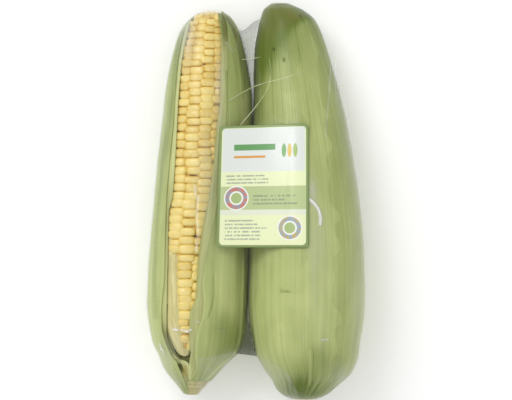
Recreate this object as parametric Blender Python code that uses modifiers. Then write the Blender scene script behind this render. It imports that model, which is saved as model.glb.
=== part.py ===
"""A pair of fresh sweetcorn ears in their husks, side by side in clear shrink film, with a stick-on label.

The pack lies on its back: X runs across it, Y along the ears towards their trimmed tips, and Z up.
The origin is under the middle of the pack, on the surface that it lies on.
The left ear's husk is cut open in a long window that shows the kernels.
The film is tight, so the solid of the pack has the form of the ears, with the film's bridge between them.
"""

import math

import bmesh
import bpy
import numpy as np
from mathutils import Vector

MM = 0.001

# Each ear's outline, as stations along Y from the stem end to the tip: half its width, where its middle lies,
# and the height of its axis, which lets the tapering ear lie on its underside.
LEFT_HALF_WIDTHS = [(-117.0, 5.2), (-112.5, 8.8), (-104.0, 16.3), (-96.5, 21.3), (-84.4, 27.6), (-60.3, 31.1),
                    (0.0, 29.9), (60.3, 27.1), (90.5, 21.9), (102.5, 18.2), (108.5, 14.4), (113.0, 9.2),
                    (114.8, 5.0)]
LEFT_MIDDLES = [(-117.0, -38.8), (-104.0, -38.2), (-90.0, -35.7), (-60.3, -35.3), (0.0, -32.3), (60.3, -28.9),
                (100.0, -28.3), (114.8, -26.6)]
LEFT_AXIS_HEIGHTS = [(-117.0, 28.8), (-90.0, 29.5), (-60.0, 30.1), (0.0, 28.9), (60.0, 26.1), (90.0, 21.6),
                     (114.8, 19.3)]
RIGHT_HALF_WIDTHS = [(-119.9, 8.2), (-116.5, 14.6), (-108.5, 22.0), (-102.5, 26.9), (-90.5, 31.8), (-60.3, 35.4),
                     (-30.2, 34.9), (0.0, 33.0), (30.2, 30.5), (60.3, 27.1), (90.5, 22.4), (108.5, 17.2),
                     (115.0, 12.6), (119.4, 5.4)]
RIGHT_MIDDLES = [(-119.9, 29.0), (-114.6, 29.6), (-105.0, 32.1), (-84.4, 30.4), (-45.0, 30.7), (0.0, 29.8),
                 (30.2, 28.0), (60.3, 25.3), (90.5, 21.4), (108.5, 19.3), (119.4, 14.6)]
RIGHT_AXIS_HEIGHTS = [(-119.9, 32.0), (-90.0, 33.6), (-60.0, 34.4), (0.0, 32.0), (60.0, 26.1), (90.0, 21.8),
                      (119.4, 18.8)]
TIP_ROUNDING = 0.5

# The window in the left husk, as seen from above: its two edges, and how it closes at the stem end.
WINDOW_LEFT = [(-94.5, -43.9), (-88.6, -51.6), (-78.4, -54.0), (-60.0, -53.7), (-8.0, -53.0), (2.0, -50.6),
               (24.1, -49.1), (43.4, -48.2), (82.0, -45.8), (111.0, -40.0)]
WINDOW_RIGHT = [(-94.5, -41.9), (-88.0, -38.6), (-67.5, -38.0), (-57.9, -34.6), (-38.6, -33.4), (-19.3, -31.0),
                (0.0, -27.1), (24.0, -23.8), (43.4, -22.3), (60.3, -20.2), (101.3, -19.6), (114.0, -22.6)]
WINDOW_BOTTOM = -94.5
CLOSED_HALF_GAP = 0.8
WALL_DEGREES = 1.0
# Down to here only kernels show in the window, and below here a pale inner leaf shows on their left.
KERNELS_LEFT = [(-92.0, -47.0), (-84.0, -45.6), (-72.4, -44.9), (-60.3, -46.7), (-36.0, -47.4), (-31.0, -50.6),
                (0.0, -51.6), (24.0, -54.0), (114.0, -44.0)]

# The cob, which lies high in the left husk, under the window.
COB_CROWN_RADII = [(-93.2, 3.0), (-92.3, 4.0), (-88.6, 7.6), (-83.1, 11.2), (-77.0, 14.6), (-70.0, 17.4),
                   (-60.0, 19.4), (0.0, 19.8), (53.0, 18.4), (81.0, 17.4), (100.0, 15.2), (110.0, 11.6),
                   (114.4, 8.0)]
COB_MIDDLES = [(-93.2, -42.4), (-84.0, -42.2), (-42.0, -42.4), (-24.7, -41.0), (3.0, -38.4), (26.5, -35.9), (53.7, -33.3),
               (81.4, -31.5), (100.7, -30.4), (115.0, -27.4)]
COB_UNDER_FILM = 1.6
KERNEL_ROWS = 14
# By how much of a row's width the rows stand turned to the left, as the cob's rows twist a little.
ROW_TWIST = [(-90.0, 0.0), (3.0, 0.0), (50.0, 0.5), (115.0, 0.5)]
KERNEL_PITCH_AT_STEM = 5.3
KERNEL_PITCH_AT_TIP = 4.5
KERNEL_HEIGHT = 2.3
KERNEL_FILL = 0.93
SMALLEST_KERNEL_CROWN = 9.0
KERNEL_SQUARENESS = 0.62
KERNEL_SIDES = 8
KERNEL_RINGS = 4
FIRST_KERNEL = -88.0
LAST_KERNEL = 112.5
ROWS_EACH_SIDE = 3

# The film's bridge between the ears: where it ends, and how far it dips between their crests.
# It is drawn down into the groove, except where the stiff label holds it up.
BRIDGE_TOP = [(-32.0, 105.6), (-10.3, 103.0), (-7.5, 102.6), (3.0, 108.4), (22.0, 112.5)]
BRIDGE_BOTTOM = [(-36.0, -94.2), (-11.8, -92.6), (0.3, -93.8), (30.0, -97.5)]
BRIDGE_DIPS = [(-98.0, 7.0), (-75.0, 13.0), (-48.0, 12.0), (-30.0, 4.2), (-20.0, 3.4), (36.0, 3.4), (46.0, 4.2),
               (62.0, 11.0), (84.0, 12.0), (104.0, 7.0)]
BRIDGE_UNDER_DIP = 6.0
BRIDGE_SINK = 0.9
BRIDGE_FULLNESS = 3.2
BRIDGE_STATIONS = 11
BRIDGE_LOOP = 44

# The husk's relief: leaf edges that run along the ear, and the pleats where it gathers at the stem.
LEAF_STEP = 0.7
LEFT_LEAF_EDGES = (-150.0, -75.0, 8.0)
RIGHT_LEAF_EDGES = (-160.0, -95.0, -20.0, 64.0, 118.0)
LEAF_FADE_DEGREES = 55.0
PLEATS = 9
PLEAT_DEPTH = 1.1
PLEAT_START = -84.0

# The label's corners as seen from above. It lies a little askew and follows the pack, so its sides differ.
LABEL_LOWER_LEFT = (-23.4, -28.2)
LABEL_LOWER_RIGHT = (31.0, -28.1)
LABEL_UPPER_RIGHT = (31.2, 45.4)
LABEL_UPPER_LEFT = (-21.5, 43.8)
LABEL_CORNER_CUT = 0.8
LABEL_THICKNESS = 0.4
LABEL_LIFT = 0.35
LABEL_DIP = 3.0
LABEL_COLUMNS = 12
LABEL_ROWS = 14

HUSK_GREEN = (0.36, 0.42, 0.15, 1.0)
LABEL_GREEN = (0.68, 0.74, 0.49, 1.0)


def smooth_through(stations, at):
    """Reads the smooth curve through (place, value) stations, which never swings past a station."""
    places = np.array([place for place, _ in stations])
    values = np.array([value for _, value in stations])
    steps = np.diff(places)
    slopes = np.diff(values) / steps
    tangents = np.empty_like(values)
    tangents[0] = slopes[0]
    tangents[-1] = slopes[-1]
    product = slopes[1:] * slopes[:-1]
    total = slopes[1:] + slopes[:-1]
    tangents[1:-1] = np.where(product > 0, 2 * product / np.where(total == 0, 1, total), 0)
    at = np.clip(at, places[0], places[-1])
    index = np.clip(np.searchsorted(places, at) - 1, 0, len(steps) - 1)
    t = (at - places[index]) / steps[index]
    rise = steps[index]
    return ((1 + 2 * t) * (1 - t) ** 2 * values[index] + t * (1 - t) ** 2 * rise * tangents[index]
            + t * t * (3 - 2 * t) * values[index + 1] + t * t * (t - 1) * rise * tangents[index + 1])


def smooth_step(low, high, at):
    """0 below low, 1 above high, and an S-shaped rise between."""
    t = np.clip((at - low) / (high - low), 0, 1)
    return t * t * (3 - 2 * t)


class Ear:
    """An ear's outer form, read from its stations, and the angles of its leaf edges."""

    def __init__(self, half_widths, middles, axis_heights, leaf_edges):
        self.half_widths = half_widths
        self.middles = middles
        self.axis_heights = axis_heights
        self.leaf_edges = leaf_edges
        self.stem_end = half_widths[0][0]
        self.tip_end = half_widths[-1][0]

    def radius(self, y):
        return smooth_through(self.half_widths, y)

    def middle(self, y):
        return smooth_through(self.middles, y)

    def axis_height(self, y):
        return smooth_through(self.axis_heights, y)

    def surface(self, x, y):
        """The height of the ear's upper side at x, without its relief."""
        off_middle = np.clip(x - self.middle(y), -self.radius(y), self.radius(y))
        return self.axis_height(y) + np.sqrt(self.radius(y) ** 2 - off_middle ** 2)

    def relief(self, degrees, y):
        """How far the husk's leaf edges and pleats raise the surface at an angle about the axis."""
        raised = np.zeros_like(degrees)
        for edge in self.leaf_edges:
            behind = (degrees - edge) % 360.0
            raised += LEAF_STEP * np.clip(1 - behind / LEAF_FADE_DEGREES, 0, 1)
        fade = smooth_step(self.stem_end, self.stem_end + 12, y) * (1 - smooth_step(90, self.tip_end, y))
        gathered = 1 - smooth_step(self.stem_end + 4, PLEAT_START, y)
        pleats = PLEAT_DEPTH * gathered * np.cos(np.radians(degrees) * PLEATS)
        return (raised - LEAF_STEP / 2) * fade + pleats

    def outer(self, degrees, y):
        """Points of the husk at these angles, measured from +X towards +Z, pressed flat where they rest."""
        angle = np.radians(degrees)
        radius = self.radius(y) + self.relief(degrees, y)
        x = self.middle(y) + radius * np.cos(angle)
        z = self.axis_height(y) + radius * np.sin(angle)
        return np.stack([x, np.full_like(x, y), np.maximum(z, 0.0)], axis=1)


LEFT = Ear(LEFT_HALF_WIDTHS, LEFT_MIDDLES, LEFT_AXIS_HEIGHTS, LEFT_LEAF_EDGES)
RIGHT = Ear(RIGHT_HALF_WIDTHS, RIGHT_MIDDLES, RIGHT_AXIS_HEIGHTS, RIGHT_LEAF_EDGES)


def cob_axis_height(y):
    """The cob lies against the inside of the film and the husk, and its axis is then this high."""
    off_middle = smooth_through(COB_MIDDLES, y) - LEFT.middle(y)
    room = LEFT.radius(y) - smooth_through(COB_CROWN_RADII, y) - COB_UNDER_FILM
    return LEFT.axis_height(y) + np.sqrt(np.maximum(room ** 2 - off_middle ** 2, 0))


def places_along(ear, count):
    """Places along Y from stem to tip, closer together towards the ends."""
    t = np.linspace(0, 1, count)
    eased = 0.45 * t + 0.55 * (1 - np.cos(math.pi * t)) / 2
    return ear.stem_end + (ear.tip_end - ear.stem_end) * eased


def plain_ring(ear, y, count):
    """One ring of the whole husk."""
    return ear.outer(np.linspace(0, 360, count, endpoint=False), y)


def window_ring(y, across, around):
    """One ring of the left ear: the husk nearly all the way round, then the cob's core seen in the window."""
    middle = LEFT.middle(y)
    radius = LEFT.radius(y)
    reach = 0.92 * radius
    left = np.clip(smooth_through(WINDOW_LEFT, y), middle - reach, middle + reach - 2 * CLOSED_HALF_GAP)
    right = np.clip(smooth_through(WINDOW_RIGHT, y), left + 2 * CLOSED_HALF_GAP, middle + reach)
    left_degrees = math.degrees(math.acos((left - middle) / radius))
    right_degrees = math.degrees(math.acos((right - middle) / radius))
    husk = LEFT.outer(np.linspace(left_degrees, right_degrees + 360, around), y)

    inset = WALL_DEGREES * min(1.0, (left_degrees - right_degrees) / 20)
    window = LEFT.outer(np.linspace(right_degrees + inset, left_degrees - inset, across), y)
    core = smooth_through(COB_CROWN_RADII, y) - KERNEL_HEIGHT
    off_cob = np.clip(window[:, 0] - smooth_through(COB_MIDDLES, y), -core, core)
    floor = cob_axis_height(y) + np.sqrt(core ** 2 - off_cob ** 2)
    depth_share = smooth_step(WINDOW_BOTTOM, WINDOW_BOTTOM + 4, y)
    window[:, 2] -= depth_share * np.maximum(window[:, 2] - floor, 0)
    return np.concatenate([husk, window])


def mesh_object(name, mesh):
    made = bpy.data.objects.new(name, mesh)
    bpy.context.scene.collection.objects.link(made)
    return made


def loft(name, rings, far_caps):
    """A closed solid through rings of equal count. far_caps are the two points that close its ends."""
    shape = bmesh.new()
    lines = [[shape.verts.new(point * MM) for point in ring] for ring in rings]
    for lower, upper in zip(lines, lines[1:]):
        for i in range(len(lower)):
            shape.faces.new((lower[i - 1], lower[i], upper[i], upper[i - 1]))
    for line, cap in zip((lines[0], lines[-1]), far_caps):
        tip = shape.verts.new(np.array(cap) * MM)
        for i in range(len(line)):
            shape.faces.new((line[i - 1], line[i], tip))
    bmesh.ops.recalc_face_normals(shape, faces=shape.faces)
    mesh = bpy.data.meshes.new(name)
    shape.to_mesh(mesh)
    shape.free()
    return mesh_object(name, mesh)


def end_caps(ear):
    """The middle points of the cut stem and of the blunt tip."""
    return [(ear.middle(y), y + push, ear.axis_height(y))
            for y, push in ((ear.stem_end, 0.0), (ear.tip_end, TIP_ROUNDING))]


def make_left_ear():
    rings = [window_ring(y, 9, 34) for y in places_along(LEFT, 30)]
    return loft("left_ear", rings, end_caps(LEFT))


def make_right_ear():
    rings = [plain_ring(RIGHT, y, 36) for y in places_along(RIGHT, 28)]
    return loft("right_ear", rings, end_caps(RIGHT))


def kernel_template():
    """One kernel's block with rounded sides, of unit half-sizes."""
    shape = bmesh.new()
    bmesh.ops.create_uvsphere(shape, u_segments=KERNEL_SIDES, v_segments=KERNEL_RINGS, radius=1.0)
    for vert in shape.verts:
        vert.co = [math.copysign(abs(c) ** KERNEL_SQUARENESS, c) for c in vert.co]
    mesh = bpy.data.meshes.new("kernel_template")
    shape.to_mesh(mesh)
    shape.free()
    return mesh


def kernel_rings():
    """The places along the cob of its rings of kernels, which are shorter towards the tip."""
    y = FIRST_KERNEL
    while y < LAST_KERNEL:
        share = (y - FIRST_KERNEL) / (LAST_KERNEL - FIRST_KERNEL)
        pitch = KERNEL_PITCH_AT_STEM + share * (KERNEL_PITCH_AT_TIP - KERNEL_PITCH_AT_STEM)
        yield y, pitch
        y += pitch


def kernel_places():
    """The middle, row angle, crown radius and half-sizes of each kernel that shows in the window."""
    row_angle = 2 * math.pi / KERNEL_ROWS
    for ring_y, pitch in kernel_rings():
        for row in range(-ROWS_EACH_SIDE, ROWS_EACH_SIDE + 1):
            y = ring_y + pitch * 0.5 * (row % 2)
            angle = (row - smooth_through(ROW_TWIST, y)) * row_angle
            crown = smooth_through(COB_CROWN_RADII, y)
            x = smooth_through(COB_MIDDLES, y) + crown * math.sin(angle)
            half_across = KERNEL_FILL * max(crown, SMALLEST_KERNEL_CROWN) * math.tan(row_angle / 2)
            hidden = 0.25 * half_across
            left = max(smooth_through(WINDOW_LEFT, y), smooth_through(KERNELS_LEFT, y) + half_across / 2)
            right = smooth_through(WINDOW_RIGHT, y)
            if left - hidden < x < right + hidden and y < LAST_KERNEL:
                yield y, angle, crown, half_across, KERNEL_FILL * pitch / 2


def make_kernels():
    """A block for each kernel that shows, half sunk in the cob's core."""
    template = kernel_template()
    points = np.array([vert.co for vert in template.vertices])
    kernels = []
    for y, angle, crown, half_across, half_along in kernel_places():
        outward = np.array([math.sin(angle), 0.0, math.cos(angle)])
        across = np.array([math.cos(angle), 0.0, -math.sin(angle)])
        axis = np.array([smooth_through(COB_MIDDLES, y), y, cob_axis_height(y)])
        centre = axis + outward * (crown - KERNEL_HEIGHT)
        placed = (centre + np.outer(points[:, 0] * half_across, across)
                  + points[:, 1:2] * [0.0, half_along, 0.0] + np.outer(points[:, 2] * KERNEL_HEIGHT, outward))
        mesh = template.copy()
        mesh.vertices.foreach_set("co", (placed * MM).ravel())
        kernels.append(mesh_object("kernel", mesh))
    bpy.data.meshes.remove(template)
    return kernels


def between_crests(x, y):
    """How far x lies from the left crest to the right one, from 0 to 1, and how far a dip has grown there."""
    left_x, right_x = LEFT.middle(y), RIGHT.middle(y)
    share = np.clip((x - left_x) / (right_x - left_x), 0, 1)
    return share, (4 * share * (1 - share)) ** 2


def crest_height(share, y):
    """The height of a straight line from crest to crest."""
    left_crest, right_crest = (ear.axis_height(y) + ear.radius(y) for ear in (LEFT, RIGHT))
    return left_crest + (right_crest - left_crest) * share


def bridge_heights(x, y):
    """The film's upper and lower height between the ears' crests, with its dip."""
    share, dip = between_crests(x, y)
    left_low, right_low = (np.maximum(ear.axis_height(y) - ear.radius(y), 0) for ear in (LEFT, RIGHT))
    upper = crest_height(share, y) - smooth_through(BRIDGE_DIPS, y) * dip
    lower = left_low + (right_low - left_low) * share + BRIDGE_UNDER_DIP * dip
    return upper - BRIDGE_SINK, lower + BRIDGE_SINK


def make_bridge():
    """The film between the ears, filled: front and back meet in a concave edge at each end."""
    rings = []
    for share in np.linspace(0, 1, BRIDGE_STATIONS):
        ring = []
        for turn in np.linspace(0, 2 * math.pi, BRIDGE_LOOP, endpoint=False):
            along = math.copysign(abs(math.cos(turn)) ** (2 / BRIDGE_FULLNESS), math.cos(turn))
            full = abs(math.sin(turn)) ** (2 / BRIDGE_FULLNESS)
            x = LEFT.middle(0) + (RIGHT.middle(0) - LEFT.middle(0)) * share
            top, bottom = smooth_through(BRIDGE_TOP, x), smooth_through(BRIDGE_BOTTOM, x)
            y = (top + bottom) / 2 + along * (top - bottom) / 2
            x = LEFT.middle(y) + (RIGHT.middle(y) - LEFT.middle(y)) * share
            high, low = bridge_heights(x, y)
            level = LEFT.axis_height(y) + (RIGHT.axis_height(y) - LEFT.axis_height(y)) * share
            z = level + ((high - level) if math.sin(turn) > 0 else (low - level)) * full
            ring.append(np.array([x, y, z]))
        rings.append(np.array(ring))
    caps = [ring.mean(axis=0) for ring in (rings[0], rings[-1])]
    return loft("bridge", rings, caps)


def label_height(x, y):
    """The height that the ears' crests carry the label at, with its own slight dip."""
    share, dip = between_crests(x, y)
    taut = crest_height(share, y) - LABEL_DIP * dip
    return max(taut, LEFT.surface(x, y), RIGHT.surface(x, y)) + LEAF_STEP / 2


def make_label():
    """The label: a thin sheet with cut corners, stuck over the film between the two crests."""
    shape = bmesh.new()
    bmesh.ops.create_grid(shape, x_segments=LABEL_COLUMNS, y_segments=LABEL_ROWS, size=1.0)
    corners = [Vector(corner) for corner in
               (LABEL_LOWER_LEFT, LABEL_LOWER_RIGHT, LABEL_UPPER_LEFT, LABEL_UPPER_RIGHT)]
    middle = sum(corners, Vector((0, 0))) / 4
    for vert in shape.verts:
        u, v = (vert.co.x + 1) / 2, (vert.co.y + 1) / 2
        place = corners[0].lerp(corners[1], u).lerp(corners[2].lerp(corners[3], u), v)
        if abs(vert.co.x) > 0.999 and abs(vert.co.y) > 0.999:
            place += (middle - place).normalized() * LABEL_CORNER_CUT
        vert.co = Vector((place.x, place.y, label_height(place.x, place.y) + LABEL_LIFT)) * MM
    mesh = bpy.data.meshes.new("label")
    shape.to_mesh(mesh)
    shape.free()
    label = mesh_object("label", mesh)
    sheet = label.modifiers.new("thickness", "SOLIDIFY")
    sheet.thickness = LABEL_THICKNESS * MM
    sheet.offset = 1.0
    return label


def join_all(base, others, name):
    """One solid from overlapping ones, joined by one Boolean union on their collection."""
    joined = bpy.data.collections.new("to_join")
    bpy.context.scene.collection.children.link(joined)
    for other in others:
        bpy.context.scene.collection.objects.unlink(other)
        joined.objects.link(other)
    union = base.modifiers.new("union", "BOOLEAN")
    union.operation = "UNION"
    union.operand_type = "COLLECTION"
    union.collection = joined
    union.solver = "EXACT"
    graph = bpy.context.evaluated_depsgraph_get()
    mesh = bpy.data.meshes.new_from_object(base.evaluated_get(graph))
    for other in [base, *others]:
        bpy.data.objects.remove(other)
    bpy.data.collections.remove(joined)
    return mesh_object(name, mesh)


def give_material(obj, name, colour, roughness):
    material = bpy.data.materials.new(name)
    material.use_nodes = True
    shader = material.node_tree.nodes["Principled BSDF"]
    shader.inputs["Base Color"].default_value = colour
    shader.inputs["Roughness"].default_value = roughness
    obj.data.materials.clear()
    obj.data.materials.append(material)


def main():
    for old in list(bpy.data.objects):
        bpy.data.objects.remove(old)
    pack = join_all(make_left_ear(), [make_right_ear(), make_bridge(), *make_kernels()], "film_pack")
    label = make_label()
    give_material(pack, "pack", HUSK_GREEN, 0.4)
    give_material(label, "label", LABEL_GREEN, 0.35)
    parts = bpy.data.collections.new("wrapped_sweetcorn_pair")
    bpy.context.scene.collection.children.link(parts)
    for part in (pack, label):
        bpy.context.scene.collection.objects.unlink(part)
        parts.objects.link(part)


main()
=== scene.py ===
# %% [markdown]
# # Fresh sweetcorn ears in clear shrink film
#
# Two ears of sweetcorn lie side by side in their husks, held by one tight sleeve of clear film with a label on it.
# The left husk is cut open in a long window that shows the kernels.
#
# The pack's solid is only its outer form, so here it is taken apart into what a shopper would see.
# Those are the leaves of each husk, the cob with its kernels, the cut stems, some silk, the film and the label.
# Each piece is a surface worked out from the same measures as the solid, so everything fits under the film.

# %% Loading the solid
import math

import bpy
import numpy as np
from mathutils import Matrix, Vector


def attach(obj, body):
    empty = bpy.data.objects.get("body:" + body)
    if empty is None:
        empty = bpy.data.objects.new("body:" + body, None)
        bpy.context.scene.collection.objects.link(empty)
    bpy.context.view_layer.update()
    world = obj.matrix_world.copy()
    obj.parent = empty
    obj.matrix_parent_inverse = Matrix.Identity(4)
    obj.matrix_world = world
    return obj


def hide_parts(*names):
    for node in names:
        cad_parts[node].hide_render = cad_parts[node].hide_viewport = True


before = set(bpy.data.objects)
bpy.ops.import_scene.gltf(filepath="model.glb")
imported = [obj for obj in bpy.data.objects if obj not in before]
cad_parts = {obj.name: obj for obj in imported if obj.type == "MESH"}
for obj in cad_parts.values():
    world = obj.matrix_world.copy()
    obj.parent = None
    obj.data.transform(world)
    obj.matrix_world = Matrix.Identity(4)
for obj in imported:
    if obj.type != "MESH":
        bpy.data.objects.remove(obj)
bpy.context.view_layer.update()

# %% [markdown]
# ## The measures
#
# An ear is a long bulb that tapers towards its tip, so three smooth curves along it say nearly everything.
# They are half its width, where its middle lies and how high its axis is, each read at a few stations in
# millimetres, and angles are in degrees from +X towards +Z.
# A cubic that never swings past a station keeps the outline as calm as the real one. A plain spline would ripple.

# %% Stations
def through(stations, at):
    """The smooth curve through (place, value) stations: Hermite cubics whose slopes are harmonic means."""
    places, values = np.array(stations, float).T
    steps = np.diff(places)
    slopes = np.diff(values) / steps
    product, total = slopes[1:] * slopes[:-1], slopes[1:] + slopes[:-1]
    tangents = np.concatenate([slopes[:1], np.where(product > 0, 2 * product / np.where(total == 0, 1, total), 0),
                               slopes[-1:]])
    at = np.clip(at, places[0], places[-1])
    index = np.clip(np.searchsorted(places, at) - 1, 0, len(steps) - 1)
    step = steps[index]
    t = (at - places[index]) / step
    return ((1 + 2 * t) * (1 - t) ** 2 * values[index] + t * (1 - t) ** 2 * step * tangents[index]
            + t * t * (3 - 2 * t) * values[index + 1] + t * t * (t - 1) * step * tangents[index + 1])


def rise(low, high, at):
    """0 below low, 1 above high, and an S between."""
    t = np.clip((at - low) / (high - low), 0, 1)
    return t * t * (3 - 2 * t)


print("halfway up a rise from 0 to 1:", rise(0, 1, 0.5))

# %% The two ears
class Ear:
    """An ear's outer form. The film touches it, and the leaves lie just inside it."""

    def __init__(self, half_widths, middles, axis_heights):
        self.half_widths, self.middles, self.axis_heights = half_widths, middles, axis_heights
        self.stem_end, self.tip_end = half_widths[0][0], half_widths[-1][0]

    def radius(self, y):
        return through(self.half_widths, y)

    def middle(self, y):
        return through(self.middles, y)

    def axis_height(self, y):
        return through(self.axis_heights, y)

    def surface(self, x, y):
        """The height of the upper side at x."""
        radius = self.radius(y)
        off = np.clip(x - self.middle(y), -radius, radius)
        return self.axis_height(y) + np.sqrt(radius ** 2 - off ** 2)

    def angle_at(self, x, y):
        """The angle in degrees, from +X towards +Z, at which the upper side passes x."""
        return np.degrees(np.arccos(np.clip((x - self.middle(y)) / self.radius(y), -0.985, 0.985)))

    def points(self, degrees, y, depth):
        """Points at these angles, this deep under the outer form, and pressed flat where they rest."""
        radius = np.maximum(self.radius(y) - depth, 0.3)
        angle = np.radians(degrees)
        x = self.middle(y) + radius * np.cos(angle)
        z = self.axis_height(y) + radius * np.sin(angle)
        return np.stack([x, y + 0 * x, np.maximum(z, np.clip(depth, 0.05, 3.0))], axis=-1)


LEFT = Ear([(-117.0, 5.2), (-112.5, 8.8), (-104.0, 16.3), (-96.5, 21.3), (-84.4, 27.6), (-60.3, 31.1), (0.0, 29.9),
            (60.3, 27.1), (90.5, 21.9), (102.5, 18.2), (108.5, 14.4), (113.0, 9.2), (114.8, 5.0)],
           [(-117.0, -38.8), (-104.0, -38.2), (-90.0, -35.7), (-60.3, -35.3), (0.0, -32.3), (60.3, -28.9),
            (100.0, -28.3), (114.8, -26.6)],
           [(-117.0, 28.8), (-90.0, 29.5), (-60.0, 30.1), (0.0, 28.9), (60.0, 26.1), (90.0, 21.6), (114.8, 19.3)])
RIGHT = Ear([(-119.9, 8.2), (-116.5, 14.6), (-108.5, 22.0), (-102.5, 26.9), (-90.5, 31.8), (-60.3, 35.4),
             (-30.2, 34.9), (0.0, 33.0), (30.2, 30.5), (60.3, 27.1), (90.5, 22.4), (108.5, 17.2), (115.0, 12.6),
             (119.4, 5.4)],
            [(-119.9, 29.0), (-114.6, 29.6), (-105.0, 32.1), (-84.4, 30.4), (-45.0, 30.7), (0.0, 29.8),
             (30.2, 28.0), (60.3, 25.3), (90.5, 21.4), (108.5, 19.3), (119.4, 14.6)],
            [(-119.9, 32.0), (-90.0, 33.6), (-60.0, 34.4), (0.0, 32.0), (60.0, 26.1), (90.0, 21.8), (119.4, 18.8)])
print("widest left ear", 2 * LEFT.radius(-60.3), "mm, widest right ear", 2 * RIGHT.radius(-60.3), "mm")

# %% [markdown]
# ## Turning grids of points into meshes
#
# Every surface here is a grid of two parameters, such as the angle round an ear and the place along it.
# numpy works out all its points at once, and this cell only joins neighbours into faces.
# The two parameters go along as attributes, so a material can run its veins along the leaf.

# %% Grid meshes
MM = 0.001


def mesh_object(name, points, faces, values):
    """A smooth object from a list of points in millimetres, its faces, and a number on each point for each key."""
    mesh = bpy.data.meshes.new(name)
    mesh.from_pydata((points * MM).tolist(), [], faces)
    for key, value in values.items():
        layer = mesh.attributes.new(key, "FLOAT", "POINT")
        layer.data.foreach_set("value", np.ascontiguousarray(value, float).ravel())
    mesh.polygons.foreach_set("use_smooth", np.ones(len(mesh.polygons), bool))
    made = bpy.data.objects.new(name, mesh)
    bpy.context.scene.collection.objects.link(made)
    return made


def grid(name, points, around=False, poles=False, flip=False, **values):
    """A mesh from a (rows, columns, 3) array in millimetres. Its rows may close around, and its ends at poles.

    Each extra keyword is a (rows, columns) array that is kept as a number on every point.
    """
    rows, columns = points.shape[:2]
    corner = np.arange(rows * columns).reshape(rows, columns)
    following = np.roll(corner, -1, axis=1)
    if not around:
        corner, following = corner[:, :-1], following[:, :-1]
    quads = np.stack([corner[:-1], corner[1:], following[1:], following[:-1]], axis=-1).reshape(-1, 4)
    flat = points.reshape(-1, 3)
    faces = quads.tolist()
    if poles:
        first, last = rows * columns, rows * columns + 1
        flat = np.concatenate([flat, points[0].mean(axis=0)[None], points[-1].mean(axis=0)[None]])
        ends = np.arange(columns)
        after = np.roll(ends, -1)
        faces += np.stack([np.full(columns, first), ends, after], axis=-1).tolist()
        ends, after = ends + (rows - 1) * columns, after + (rows - 1) * columns
        faces += np.stack([np.full(columns, last), after, ends], axis=-1).tolist()
    if flip:
        faces = [face[::-1] for face in faces]
    for key, value in values.items():
        value = np.broadcast_to(value, (rows, columns))
        values[key] = np.concatenate([value.ravel(), [value[0].mean(), value[-1].mean()]]) if poles else value
    return mesh_object(name, flat, faces, values)


print("mesh_object and grid are ready")

# %% Thickness, and joining to the pack
def thicken(piece, millimetres, outwards=-1.0):
    """Gives a sheet a real thickness, inwards unless told otherwise."""
    sheet = piece.modifiers.new("thickness", "SOLIDIFY")
    sheet.thickness = millimetres * MM
    sheet.offset = outwards
    sheet.use_even_offset = False


def place(piece, material):
    """Dresses a piece and joins it to the pack, in place of the solid."""
    piece.data.materials.append(material)
    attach(piece, "root")
    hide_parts("film_pack")
    return piece


print("thicken and place are ready")

# %% [markdown]
# ## Writing materials as sums
#
# A material's pattern is a formula, such as a vein's noise times its strength. Wiring that by hand hides it.
# So one small class wraps a socket: it adds, subtracts, multiplies and divides as numbers do, and makes the nodes.

# %% Shader sums
class Value:
    """A socket of a material that can be used in sums."""

    def __init__(self, tree, socket):
        self.tree, self.socket = tree, socket

    def make(self, kind, inputs=None, output=0, **settings):
        """Any node, from its type, its settings, and numbers or Values for its sockets."""
        node = self.tree.nodes.new("ShaderNode" + kind)
        for key, setting in settings.items():
            setattr(node, key, setting)
        for key, value in (inputs or {}).items():
            if isinstance(value, Value):
                self.tree.links.new(value.socket, node.inputs[key])
            else:
                node.inputs[key].default_value = value
        return Value(self.tree, node.outputs[output])

    def maths(self, operation, *others):
        return self.make("Math", dict(enumerate((self, *others))), operation=operation)

    def __add__(self, other):
        return self.maths("ADD", other)

    def __sub__(self, other):
        return self.maths("SUBTRACT", other)

    def __mul__(self, other):
        return self.maths("MULTIPLY", other)

    def __truediv__(self, other):
        return self.maths("DIVIDE", other)

    def __rsub__(self, other):
        return self.make("Math", {0: other, 1: self}, operation="SUBTRACT")

    def __rtruediv__(self, other):
        return self.make("Math", {0: other, 1: self}, operation="DIVIDE")

    __radd__, __rmul__ = __add__, __mul__

    def power(self, exponent):
        return self.maths("POWER", exponent)

    def least(self, other):
        return self.maths("MINIMUM", other)

    def most(self, other):
        return self.maths("MAXIMUM", other)

    def ramp(self, low, high, start=0.0, end=1.0):
        """start below low, end above high, and an S between."""
        return self.make("MapRange", {0: self, 1: low, 2: high, 3: start, 4: end},
                         interpolation_type="SMOOTHSTEP")

    def between(self, first, second):
        """A colour from first to second by this factor. Either may be a Value."""
        return self.make("Mix", {0: self, 6: first, 7: second}, output=2, data_type="RGBA")

    def attribute(self, name):
        return self.make("Attribute", output=2, attribute_name=name)

    def noise(self, x, y, z=0.0, detail=2.0, roughness=0.5):
        """Noise read at three numbers, from about 0.3 to 0.7."""
        vector = self.make("CombineXYZ", {0: x, 1: y, 2: z})
        return self.make("TexNoise", {"Vector": vector, "Scale": 1.0, "Detail": detail, "Roughness": roughness})

    def grain(self, scale, detail):
        """Noise on Object coordinates, which is the same in every direction."""
        return self.make("TexNoise", {"Vector": self.make("TexCoord", output=3), "Scale": scale, "Detail": detail})

    def bump(self, strength, millimetres):
        return self.make("Bump", {"Height": self, "Strength": strength, "Distance": millimetres * MM})


print("Value is ready")

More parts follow.
